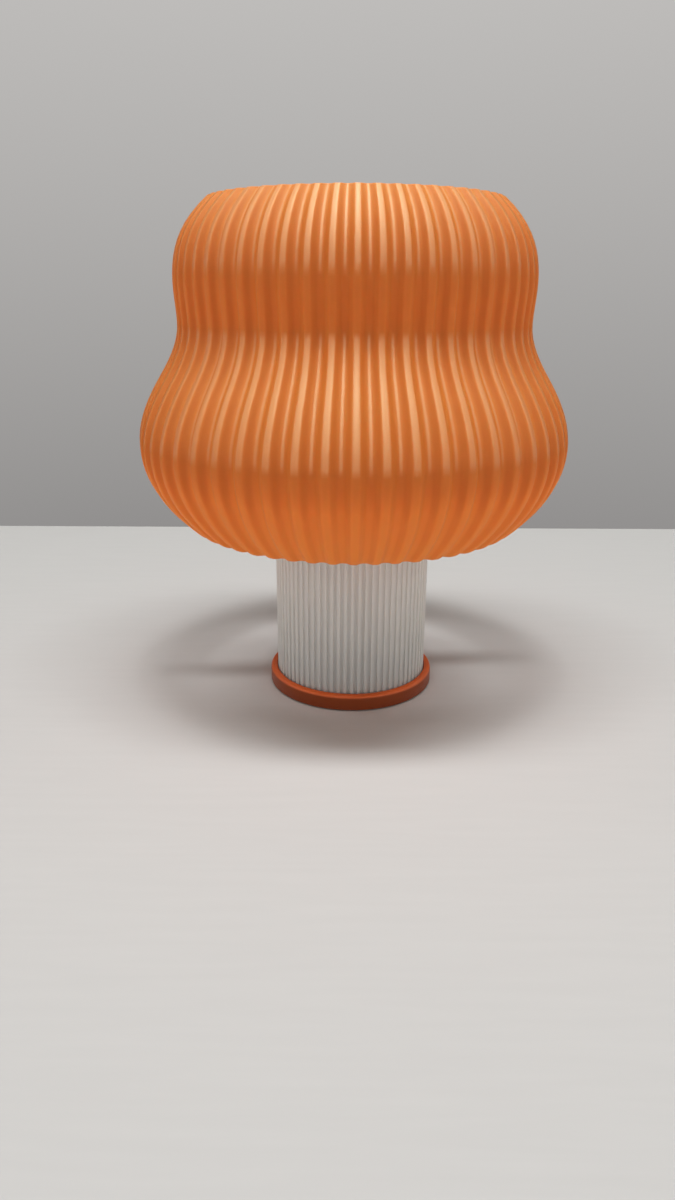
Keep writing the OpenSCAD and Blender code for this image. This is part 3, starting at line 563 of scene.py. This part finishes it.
def body_of(node):
    """The body that the record gives a CAD node."""
    bodies = frame["record"]["behaviour"]["bodies"]
    return next(body for body, nodes in bodies.items() if node in nodes)


# Meshes


def linked(name, data):
    """A new object in the scene."""
    added = bpy.data.objects.new(name, data)
    bpy.context.collection.objects.link(added)
    return added


def new_piece(name, mesh, *nodes):
    """Puts a finished mesh on its body in place of CAD nodes."""
    piece = linked(name, mesh)
    slot = slot_of(nodes[0])
    mesh.materials.clear()
    mesh.materials.append(FINISHES[slot])
    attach(piece, body_of(nodes[0]))
    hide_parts(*nodes)


def modified(seed, name):
    """The plain mesh that an object's modifiers leave, under a name. The object itself goes."""
    graph = bpy.context.evaluated_depsgraph_get()
    mesh = bpy.data.meshes.new_from_object(seed.evaluated_get(graph), depsgraph=graph)
    bpy.data.objects.remove(seed)
    mesh.name = name
    return mesh


def closed_outline(name, points):
    """A closed outline in a plane: each point is a place across the wall and a height."""
    mesh = bpy.data.meshes.new(name)
    size = len(points)
    mesh.from_pydata([(x, z, 0) for x, z in points], [(i, (i + 1) % size) for i in range(size)], [])
    return mesh


def grown(name, mesh, tree, values):
    """The plain mesh that a tree makes from a base mesh, with its inputs set by name."""
    seed = linked(name, mesh)
    modifier = seed.modifiers.new(name, "NODES")
    modifier.node_group = tree
    for item in tree.interface.items_tree:
        if item.item_type == "SOCKET" and item.in_out == "INPUT" and item.name in values:
            modifier[item.identifier] = values[item.name]
    result = modified(seed, name)
    if not result.polygons:
        raise RuntimeError(f"{name}: the tree made no faces")
    work = bmesh.new()
    work.from_mesh(result)
    bmesh.ops.recalc_face_normals(work, faces=work.faces)
    work.to_mesh(result)
    work.free()
    return result


class Growth(Net):
    """One Geometry Nodes tree, with inputs for its base, for each named size or count and for its finish."""

    def __init__(self, name, inputs):
        tree = bpy.data.node_groups.new(name, "GeometryNodeTree")
        tree.is_modifier = True
        tree.interface.new_socket("Geometry", in_out="INPUT", socket_type="NodeSocketGeometry")
        for label, default in inputs.items():
            kind = "NodeSocketInt" if isinstance(default, int) else "NodeSocketFloat"
            tree.interface.new_socket(label, in_out="INPUT", socket_type=kind).default_value = default
        tree.interface.new_socket("Finish", in_out="INPUT", socket_type="NodeSocketMaterial")
        tree.interface.new_socket("Geometry", in_out="OUTPUT", socket_type="NodeSocketGeometry")
        super().__init__(tree)
        self.given = self.node("NodeGroupInput")

    def use(self, label):
        return self.given.out(label)

    def keep(self, geometry, name, value):
        """Stores a value on the points under a name."""
        return self.node("GeometryNodeStoreNamedAttribute", {"data_type": "FLOAT", "domain": "POINT"},
                         {"Geometry": geometry, "Name": name, "Value": value})

    def kept(self, name):
        return self.node("GeometryNodeInputNamedAttribute", {"data_type": "FLOAT"}, {"Name": name})

    def close(self, geometry):
        """Ends the tree with real meshes that carry the finish."""
        real = self.node("GeometryNodeRealizeInstances", None, {"Geometry": geometry})
        coated = self.node("GeometryNodeSetMaterial", None,
                           {"Geometry": real, "Material": self.use("Finish")})
        self.node("NodeGroupOutput", None, {"Geometry": coated})
        return self.tree


def swept_ring(net, columns):
    """The base outline swept round a ring, with its turn, its place across the wall and its height kept."""
    outline = net.node("GeometryNodeMeshToCurve", None, {"Mesh": net.given})
    across, up, _ = net.xyz(net.node("GeometryNodeInputPosition"))
    outline = net.keep(net.keep(outline, "across", across), "up", up)
    ring = net.node("GeometryNodeCurvePrimitiveCircle", {"mode": "RADIUS"},
                    {"Resolution": columns, "Radius": 1.0})
    ring = net.keep(ring, "turn", net.node("GeometryNodeSplineParameter"))
    swept = net.node("GeometryNodeCurveToMesh", None, {"Curve": ring, "Profile Curve": outline})
    return swept, net.kept("turn"), net.kept("across"), net.kept("up")


def placed_round(net, geometry, turn, radius, height):
    """Puts each point at a radius and a height, with turn 0 at the front."""
    bearing = turn * FULL_TURN - FULL_TURN / 4
    place = net.vector(radius * bearing.cos(), radius * bearing.sin(), height)
    moved = net.node("GeometryNodeSetPosition", None, {"Geometry": geometry, "Position": place})
    return net.node("GeometryNodeSetShadeSmooth", None, {"Geometry": moved, "Shade Smooth": True})


# Where the columns of one half rib stand, from the middle of its top at 0 to the middle of the groove at 1,
# and how deep the wall lies there
RIB_COLUMNS = ((0, 0), (0.1, 0.004), (0.2, 0.022), (0.28, 0.075), (0.36, 0.2), (0.46, 0.43), (0.56, 0.65),
               (0.66, 0.83), (0.76, 0.93), (0.88, 0.987), (1, 1))
# How far the columns of one half rib belong to its flank
FLANK_COLUMNS = (0, 0.05, 0.15, 0.45, 0.9, 1, 1, 1, 0.8, 0.35, 0)


def shade_tree(sizes):
    """The ribbed shade: an outline through six stations, its radius drawn in by the grooves."""
    labels = {p.identifier: p.name for p in own_properties(sizes)}
    net = Growth("Ribbed shade", {label: getattr(sizes, key) for key, label in labels.items()})
    use = {key: net.use(label) for key, label in labels.items()}
    steps = len(RIB_COLUMNS) - 1
    swept, turn, across, up = swept_ring(net, use["rib_count"] * (2 * steps))
    stations = [
        (0.0, use["foot_radius"], use["foot_slope"]),
        (use["belly_height"], use["belly_radius"], 0.0),
        (use["shoulder_height"], use["shoulder_radius"], use["shoulder_slope"]),
        (use["waist_height"], use["waist_radius"], 0.0),
        (use["crown_height"], use["crown_radius"], 0.0),
        (use["height"], use["mouth_radius"], use["mouth_slope"]),
    ]
    radius = use["foot_radius"]
    for (low, start, start_slope), (high, end, end_slope) in zip(stations, stations[1:]):
        span = high - low
        gone = ((up - low) / span).clamp()
        rest = 1 - gone
        widening = gone * gone * (3 - 2 * gone) * (end - start)
        leaving = gone * rest * rest * (span * start_slope)
        arriving = gone * gone * rest * (span * end_slope)
        radius = radius + widening + leaving - arriving
    offset = (turn * use["rib_count"] + 0.5 + use["rib_turn"]) % 1.0 - 0.5
    column = offset.abs() * 2.0

    def by_column(values):
        """The value for this point, from one value for each column of a half rib."""
        points = [(k / steps, value) for k, value in enumerate(values)]
        return net.node("ShaderNodeFloatCurve", {"points": points}, {"Value": column})

    side = (offset > 0.0) * 2.0 - 1.0
    stand = by_column(place for place, _ in RIB_COLUMNS)
    moved_turn = turn + (side * stand * 0.5 - offset) / use["rib_count"]
    groove = radius * use["rib_depth"] * by_column(depth for _, depth in RIB_COLUMNS)
    swept = net.keep(swept, "flank", by_column(FLANK_COLUMNS))
    return net.close(placed_round(net, swept, moved_turn, radius - groove - across, up + use["foot_z"]))


TURNED_COLUMNS = 72


def turned_tree():
    """A turned piece: an outline swept round, with a thread pressed or cut into it between two heights."""
    net = Growth("Turned piece", {"Radius": 0.02, "Thread Pitch": 0.003, "Thread Depth": 0.0,
                                  "Thread Low": 0.0, "Thread High": 0.0, "Thread Reach": 0.001})
    swept, turn, across, up = swept_ring(net, TURNED_COLUMNS)
    low, high, pitch = net.use("Thread Low"), net.use("Thread High"), net.use("Thread Pitch")
    run_in = ((up - low) / (pitch * 0.5)).clamp() * ((high - up) / (pitch * 0.5)).clamp()
    wave = 0.5 - ((up / pitch - turn) * FULL_TURN).cos() * 0.5
    cut = (across < net.use("Thread Reach")) * run_in * wave * net.use("Thread Depth")
    return net.close(placed_round(net, swept, turn, net.use("Radius") - across - cut, up))


def thread(pitch, depth, low, high, reach):
    """The inputs of a thread: pitch and depth in metres, its two heights and its reach in millimetres."""
    return {"Thread Pitch": pitch, "Thread Depth": depth, "Thread Low": low * MM, "Thread High": high * MM,
            "Thread Reach": reach * MM}


CORNER_STEPS = 3
# The longest share of a side that one rounded corner takes
CORNER_SHARE = 0.45


def eased(points, round_off):
    """A closed outline with its corners rounded off; each point is a radius and a height in millimetres."""
    rounded = []
    for i, point in enumerate(points):
        here = Vector(point)
        before, after = Vector(points[i - 1]) - here, Vector(points[(i + 1) % len(points)]) - here
        ease = min(round_off, before.length * CORNER_SHARE, after.length * CORNER_SHARE)
        start, end = here + before.normalized() * ease, here + after.normalized() * ease
        for k in range(CORNER_STEPS + 1):
            s = k / CORNER_STEPS
            rounded.append(start * (1 - s) ** 2 + here * (2 * s * (1 - s)) + end * s * s)
    return rounded


def turned_points(points, step, round_off):
    """The eased outline in metres inwards from its largest radius, with short steps along its long sides."""
    widest = max(x for x, _ in points)
    line = eased(points, round_off)
    placed = []
    for i, here in enumerate(line):
        after = line[(i + 1) % len(line)]
        parts = max(1, round(abs(after.y - here.y) / step))
        placed += [here.lerp(after, k / parts) for k in range(parts)]
    return widest * MM, [((widest - p.x) * MM, p.y * MM) for p in placed]


def turned(node, outline, step, cut=None, round_off=0.3):
    """A turned piece in place of a CAD node, from an outline in millimetres and the inputs of its thread."""
    radius, points = turned_points(outline, step, round_off)
    tree = bpy.data.node_groups.get("Turned piece") or turned_tree()
    values = {"Radius": radius, "Finish": FINISHES[slot_of(node)], **(cut or {})}
    new_piece(f"turned_{node}", grown(node, closed_outline(node, points), tree, values), node)


def levels(node):
    """The lowest and the highest level of a CAD node in millimetres."""
    return [corner.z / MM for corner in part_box(node)]


def outer_radius(node):
    """The outer radius of a round CAD node in millimetres."""
    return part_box(node)[1].x / MM


def shade_outline(sizes):
    """Up the outside from the turned-in hem, over the lip and down the inside."""
    wall, height, hem = sizes.wall, sizes.height, sizes.hem
    hem_steps, hem_tuck = 5, 1.35 * wall
    lip, lip_dip = 0.3 * MM, 0.08 * MM
    rise = height - hem - lip
    points = [(1.2 * wall, 0.0)]
    for k in range(1, hem_steps + 1):
        bend = math.pi / 2 * k / hem_steps
        points.append((hem_tuck * (1 - math.sin(bend)), hem * (1 - math.cos(bend))))
    rings = round((height - hem) / sizes.level_step)
    points += [(0.0, hem + rise * k / rings) for k in range(1, rings + 1)]
    points += [(0.1 * wall, height - lip_dip), (0.3 * wall, height)]
    points += [(0.7 * wall, height), (0.9 * wall, height - lip_dip)]
    inner_rings = rings // 2
    points += [(wall, height - lip - rise * k / inner_rings) for k in range(inner_rings + 1)]
    points += [(1.6 * wall, 0.5 * hem), (2.0 * wall, 0.0)]
    return points


def globe_outline(low, high, radius, wall, steps=30):
    """Up the outside of a ball that is cut off at its foot, and down its inside, in millimetres."""
    middle = high - radius
    start = math.asin((low - middle) / radius)
    rise = [start + (math.pi / 2 - start) * k / steps for k in range(steps + 1)]
    outside = [(radius * math.cos(a), middle + radius * math.sin(a)) for a in rise]
    bore = radius - wall
    inside = [(bore * math.cos(a), middle + bore * math.sin(a)) for a in reversed(rise)]
    inside[-1] = (inside[-1][0], low)
    return outside + inside


def chips_tree():
    """Blocks set round a ring."""
    net = Growth("Light chips", {"Chips": 12, "Radius": 0.01, "Length": 0.003, "Width": 0.003,
                                 "Height": 0.001, "Level": 0.1})
    size = net.vector(net.use("Length"), net.use("Width"), net.use("Height"))
    block = net.node("GeometryNodeMeshCube", None, {"Size": size})
    points = net.node("GeometryNodeMeshLine", None, {"Count": net.use("Chips"), "Offset": (0.0, 0.0, 0.0)})
    bearing = net.node("GeometryNodeInputIndex") / net.use("Chips") * FULL_TURN
    place = net.vector(net.use("Radius") * bearing.cos(), net.use("Radius") * bearing.sin(), net.use("Level"))
    placed = net.node("GeometryNodeSetPosition", None, {"Geometry": points, "Position": place})
    turn = net.vector(0.0, 0.0, bearing)
    spread = net.node("GeometryNodeInstanceOnPoints", None,
                      {"Points": placed, "Instance": block, "Rotation": turn})
    return net.close(spread)


def dot(name):
    """A mesh of a single point, for a tree that needs no base."""
    mesh = bpy.data.meshes.new(name)
    mesh.from_pydata([(0, 0, 0)], [], [])
    return mesh


# Copies of CAD nodes

# How wide the edges of the CAD nodes are rounded, in millimetres
SOFT_EDGES = {"shade_spider": 0.4, "foot_ring": 0.15, "clamp_ring": 0.35, "holder_cap": 0.4,
              "mounting_plate": 0.3, "cord_bush": 0.4, "weight_plate": 0.3, "base_pad": 0.2,
              "terminal_housing": 0.3, "bulb_housing": 0.3, "bulb_insulator": 0.3, "holder_core": 0.3,
              "holder_terminals": 0.12, "driver_board": 0.1, "driver_parts": 0.25, "light_board": 0.15,
              "foot_screws": 0.12, "weight_screws": 0.12, "plate_screws": 0.12, "terminal_screws": 0.1,
              "terminal_fixing_screw": 0.1, "holder_terminal_screws": 0.1, "grip_screw": 0.1}
SAME_POINT = 0.002 * MM
LEVEL_ANGLE = math.radians(1)
SHARP_ANGLE = math.radians(32)
BEVEL_ANGLE = math.radians(35)


def merge_points(mesh):
    """Merges the points that a mesh holds twice and the triangles of its level faces."""
    work = bmesh.new()
    work.from_mesh(mesh)
    bmesh.ops.remove_doubles(work, verts=work.verts, dist=SAME_POINT)
    bmesh.ops.dissolve_limit(work, angle_limit=LEVEL_ANGLE, verts=work.verts, edges=work.edges)
    work.to_mesh(mesh)
    work.free()


def merged_copy(name):
    """An object with a merged copy of a CAD node's mesh."""
    mesh = frame["nodes"][name].data.copy()
    merge_points(mesh)
    return linked(name, mesh)


def smooth(mesh):
    """Shades a mesh smooth but for its sharp edges."""
    mesh.shade_smooth()
    mesh.set_sharp_from_angle(angle=SHARP_ANGLE)


def joined(name, low, high):
    """One mesh from two CAD nodes that meet face to face and are one piece on the real lamp."""
    seed, other = merged_copy(low), merged_copy(high)
    union = seed.modifiers.new("union", "BOOLEAN")
    union.operation = "UNION"
    union.solver = "EXACT"
    union.object = other
    result = modified(seed, name)
    bpy.data.objects.remove(other)
    merge_points(result)
    smooth(result)
    return result


def softened(name, width):
    """A merged copy of a CAD node's mesh with its sharp edges rounded."""
    seed = merged_copy(name)
    bevel = seed.modifiers.new("soft edges", "BEVEL")
    bevel.width = width
    bevel.segments = 2
    bevel.angle_limit = BEVEL_ANGLE
    bevel.use_clamp_overlap = True
    result = modified(seed, f"soft_{name}")
    smooth(result)
    return result


# Studio

PANEL_TINT = (1.0, 0.985, 0.96)
ROOM_TINT = (1.0, 0.96, 0.88)
# How steeply the rays rise that meet the foot and the top of the backdrop, and the ceiling's edge and middle
BACKDROP_RISE = (-0.263, 0.257)
CEILING_RISE = (0.35, 0.75)


def lay_table(sizes, tint):
    """The table under the lamp."""
    mesh = bpy.data.meshes.new("table")
    side, rear = sizes.table_reach, sizes.table_rear
    corners = [(-side, -side, 0), (side, -side, 0), (side, rear, 0), (-side, rear, 0)]
    mesh.from_pydata(corners, [], [(0, 1, 2, 3)])
    table = linked("table", mesh)
    mesh.materials.append(finish_table("pale table", tuple(tint)))


def hang_panels(sizes):
    """A wide panel and a square one, both overhead and a little in front."""
    away = Vector((0, -math.sin(sizes.panel_tilt), math.cos(sizes.panel_tilt)))
    aim = Vector((0, 0, sizes.panel_aim))
    for name, width, part in (("wide panel", sizes.panel_width, 1 - sizes.square_share),
                              ("square panel", sizes.panel_depth, sizes.square_share)):
        panel = bpy.data.lights.new(name, "AREA")
        panel.shape = "RECTANGLE"
        panel.size = width
        panel.size_y = sizes.panel_depth
        panel.energy = sizes.panel_power * part
        panel.color = PANEL_TINT
        hung = linked(name, panel)
        hung.location = aim + away * (sizes.panel_height / math.cos(sizes.panel_tilt))
        hung.rotation_euler = away.to_track_quat("Z", "Y").to_euler()


def light_room(sizes, tints):
    """The backdrop that the camera sees, and the warm light that the room and its ceiling give the lamp."""
    world = bpy.data.worlds.new("studio")
    world.use_nodes = True
    world.node_tree.nodes.clear()
    net = Net(world.node_tree)
    # The three parts of a ray's direction, each from -1 to 1
    across, rearwards, up = net.xyz(net.node("ShaderNodeTexCoord").out("Generated"))
    path = net.node("ShaderNodeLightPath")
    shown = path.out("Is Camera Ray").high(path.out("Is Transmission Ray"))
    backdrop = net.mix(up.between(*BACKDROP_RISE), tuple(tints.wall_foot), tuple(tints.wall_top))
    tint = net.mix(shown, ROOM_TINT, backdrop)
    not_behind = 1 - ((rearwards - 0.2) * 1.5).clamp()
    beside = (1 - up * up) * not_behind * (across * across + 0.75) * sizes.side_fill
    dimmed_behind = 1 - rearwards.between(0.0, 0.5) * 0.7
    ceiling = up.between(*CEILING_RISE) * dimmed_behind * path.out("Is Glossy Ray") * sizes.glow
    strength = shown + (1 - shown) * (beside + sizes.fill) + ceiling
    light = net.node("ShaderNodeBackground", None, {"Color": tint, "Strength": strength})
    net.node("ShaderNodeOutputWorld", None, {"Surface": light})
    bpy.context.scene.world = world


# Operators


class LAMP_OT_camera(bpy.types.Operator):
    """Stand the camera in front of the lamp, looking a little down"""

    bl_idname = "lamp.camera"
    bl_label = "Camera"

    def execute(self, context):
        sizes = context.scene.lamp_studio
        data = bpy.data.cameras.new("camera")
        data.lens = sizes.lens
        data.sensor_width = sizes.sensor
        data.clip_start = 0.01
        data.clip_end = 50
        camera = linked("camera", data)
        camera.location = (-sizes.camera_shift, -sizes.distance, sizes.camera_height)
        turn = Matrix.Rotation(math.pi / 2 - sizes.pitch, 3, "X") @ Matrix.Rotation(sizes.roll, 3, "Z")
        camera.rotation_euler = turn.to_euler()
        context.scene.camera = camera
        context.scene.view_settings.view_transform = "Standard"
        return {"FINISHED"}


class LAMP_OT_finishes(bpy.types.Operator):
    """Mix every finish and give the CAD nodes theirs"""

    bl_idname = "lamp.finishes"
    bl_label = "Finishes"

    def execute(self, context):
        FINISHES.update(make_finishes())
        for name, node in frame["nodes"].items():
            for slot in node.material_slots:
                slot.material = FINISHES[slot_of(name)]
        return {"FINISHED"}


class LAMP_OT_shade(bpy.types.Operator):
    """Grow the ribbed shade from its outline and ribs"""

    bl_idname = "lamp.shade"
    bl_label = "Shade"

    def execute(self, context):
        sizes = context.scene.lamp_shade
        values = {p.name: getattr(sizes, p.identifier) for p in own_properties(sizes)}
        values["Finish"] = FINISHES["shade_plastic"]
        outline = closed_outline("shade outline", shade_outline(sizes))
        mesh = grown("ribbed_shade", outline, shade_tree(sizes), values)
        new_piece("ribbed_shade", mesh, *SHADE_BANDS)
        return {"FINISHED"}


class LAMP_OT_bulb(bpy.types.Operator):
    """Turn the cap of the bulb with its rolled thread, and its globe"""

    bl_idname = "lamp.bulb"
    bl_label = "Bulb"

    def execute(self, context):
        sizes = context.scene.lamp_fittings
        low, high = levels("bulb_cap")
        outer, wall = outer_radius("bulb_cap"), sizes.cap_wall / MM
        gap, chamfer, chamfer_rise, crease = 0.1, 0.5, 1.2, 0.3
        hole, floor = outer_radius("bulb_insulator") + gap, low + wall
        outline = [(hole, low), (outer - chamfer, low), (outer, low + chamfer_rise), (outer, high),
                   (outer - wall, high), (outer - wall, low + chamfer_rise + 0.2),
                   (outer - wall - crease, floor), (hole, floor)]
        plain_foot, plain_rim, reach = 1.6, 6.6, 1.2 * wall
        rolled = thread(sizes.thread_pitch, sizes.thread_depth, low + plain_foot, high - plain_rim, reach)
        turned("bulb_cap", outline, step=0.3, cut=rolled)
        outline = globe_outline(*levels("bulb_globe"), outer_radius("bulb_globe"), sizes.globe_wall / MM)
        turned("bulb_globe", outline, step=9, round_off=0.02)
        return {"FINISHED"}


class LAMP_OT_holder(bpy.types.Operator):
    """Turn the threaded sleeve of the lampholder and the rolled screw shell in it"""

    bl_idname = "lamp.holder"
    bl_label = "Lampholder"

    def execute(self, context):
        sizes = context.scene.lamp_fittings
        low, high = levels("holder_sleeve")
        seat, core_top = levels("mounting_plate")[0], levels("holder_core")[1]
        flange, ledge = outer_radius("holder_sleeve"), seat - sizes.flange / MM
        body, sleeve = sizes.body_radius / MM, sizes.sleeve_radius / MM
        bore, spigot = sizes.sleeve_bore / MM, sizes.spigot_radius / MM
        outline = [(spigot, low), (body, low), (body, ledge), (flange, ledge), (flange, seat), (sleeve, seat),
                   (sleeve, high), (bore, high), (bore, core_top), (spigot, core_top)]
        plain_foot, plain_rim, reach = 3.2, 0.6, flange - sleeve + 0.4
        cut = thread(sizes.sleeve_pitch, sizes.sleeve_depth, seat + plain_foot, high - plain_rim, reach)
        turned("holder_sleeve", outline, step=0.25, cut=cut)
        low, high = levels("screw_shell")
        outer, wall, floor = outer_radius("screw_shell"), sizes.shell_wall / MM, low + sizes.shell_floor / MM
        hole = 0.6 * outer
        outline = [(hole, low), (outer, low), (outer, high), (outer - wall, high), (outer - wall, floor),
                   (hole, floor)]
        plain_foot, plain_rim, reach = 2, 1.5, wall + 0.3
        rolled = thread(sizes.thread_pitch, -sizes.thread_depth, low + plain_foot, high - plain_rim, reach)
        turned("screw_shell", outline, step=0.3, cut=rolled, round_off=0.15)
        return {"FINISHED"}


class LAMP_OT_chips(bpy.types.Operator):
    """Set the light chips round their board"""

    bl_idname = "lamp.chips"
    bl_label = "Light Chips"

    def execute(self, context):
        sizes = context.scene.lamp_fittings
        low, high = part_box("light_chips")
        values = {"Chips": sizes.chip_count, "Radius": high.x - sizes.chip_length / 2,
                  "Length": sizes.chip_length, "Width": sizes.chip_width, "Height": high.z - low.z,
                  "Level": (low.z + high.z) / 2, "Finish": FINISHES["chip_yellow"]}
        new_piece("chips", grown("chips", dot("chips"), chips_tree(), values), "light_chips")
        return {"FINISHED"}


class LAMP_OT_softened(bpy.types.Operator):
    """Round the sharp edges of the other moulded, printed and cut pieces"""

    bl_idname = "lamp.softened"
    bl_label = "Soft Edges"

    def execute(self, context):
        for name, width in SOFT_EDGES.items():
            new_piece(f"soft_{name}", softened(name, width * MM), name)
        return {"FINISHED"}


class LAMP_OT_stem(bpy.types.Operator):
    """Join the two lengths of the printed stem"""

    bl_idname = "lamp.stem"
    bl_label = "Stem"

    def execute(self, context):
        stem = joined("printed_stem", *STEM_LENGTHS)
        new_piece("printed_stem", stem, *STEM_LENGTHS)
        return {"FINISHED"}


class LAMP_OT_studio(bpy.types.Operator):
    """Lay the table, hang the panels and light the room"""

    bl_idname = "lamp.studio"
    bl_label = "Studio"

    def execute(self, context):
        sizes, tints = context.scene.lamp_studio, context.scene.lamp_colours
        lay_table(sizes, tints.floor)
        hang_panels(sizes)
        light_room(sizes, tints)
        return {"FINISHED"}


class LAMP_PT_pieces(bpy.types.Panel):
    """Sizes and pieces of the lamp"""

    bl_label = "Table Lamp"
    bl_idname = "LAMP_PT_pieces"
    bl_space_type = "VIEW_3D"
    bl_region_type = "UI"
    bl_category = "Lamp"

    def draw(self, context):
        for name in GROUPS:
            group, box = getattr(context.scene, name), self.layout.box()
            for p in own_properties(group):
                box.prop(group, p.identifier)
        for operator in OPERATORS:
            self.layout.operator(operator.bl_idname)


GROUPS = {"lamp_shade": ShadeSizes, "lamp_fittings": FittingSizes, "lamp_colours": LampColours,
          "lamp_studio": StudioSizes}
OPERATORS = (LAMP_OT_camera, LAMP_OT_finishes, LAMP_OT_shade, LAMP_OT_bulb, LAMP_OT_holder, LAMP_OT_chips,
             LAMP_OT_softened, LAMP_OT_stem, LAMP_OT_studio)


def register():
    for cls in (*GROUPS.values(), *OPERATORS, LAMP_PT_pieces):
        bpy.utils.register_class(cls)
    for name, group in GROUPS.items():
        setattr(bpy.types.Scene, name, PointerProperty(type=group))


def unregister():
    for name in GROUPS:
        delattr(bpy.types.Scene, name)
    for cls in reversed((*GROUPS.values(), *OPERATORS, LAMP_PT_pieces)):
        bpy.utils.unregister_class(cls)


def main():
    register()
    for operator in OPERATORS:
        group, name = operator.bl_idname.split(".")
        getattr(getattr(bpy.ops, group), name)()


if __name__ == "__main__":
    main()
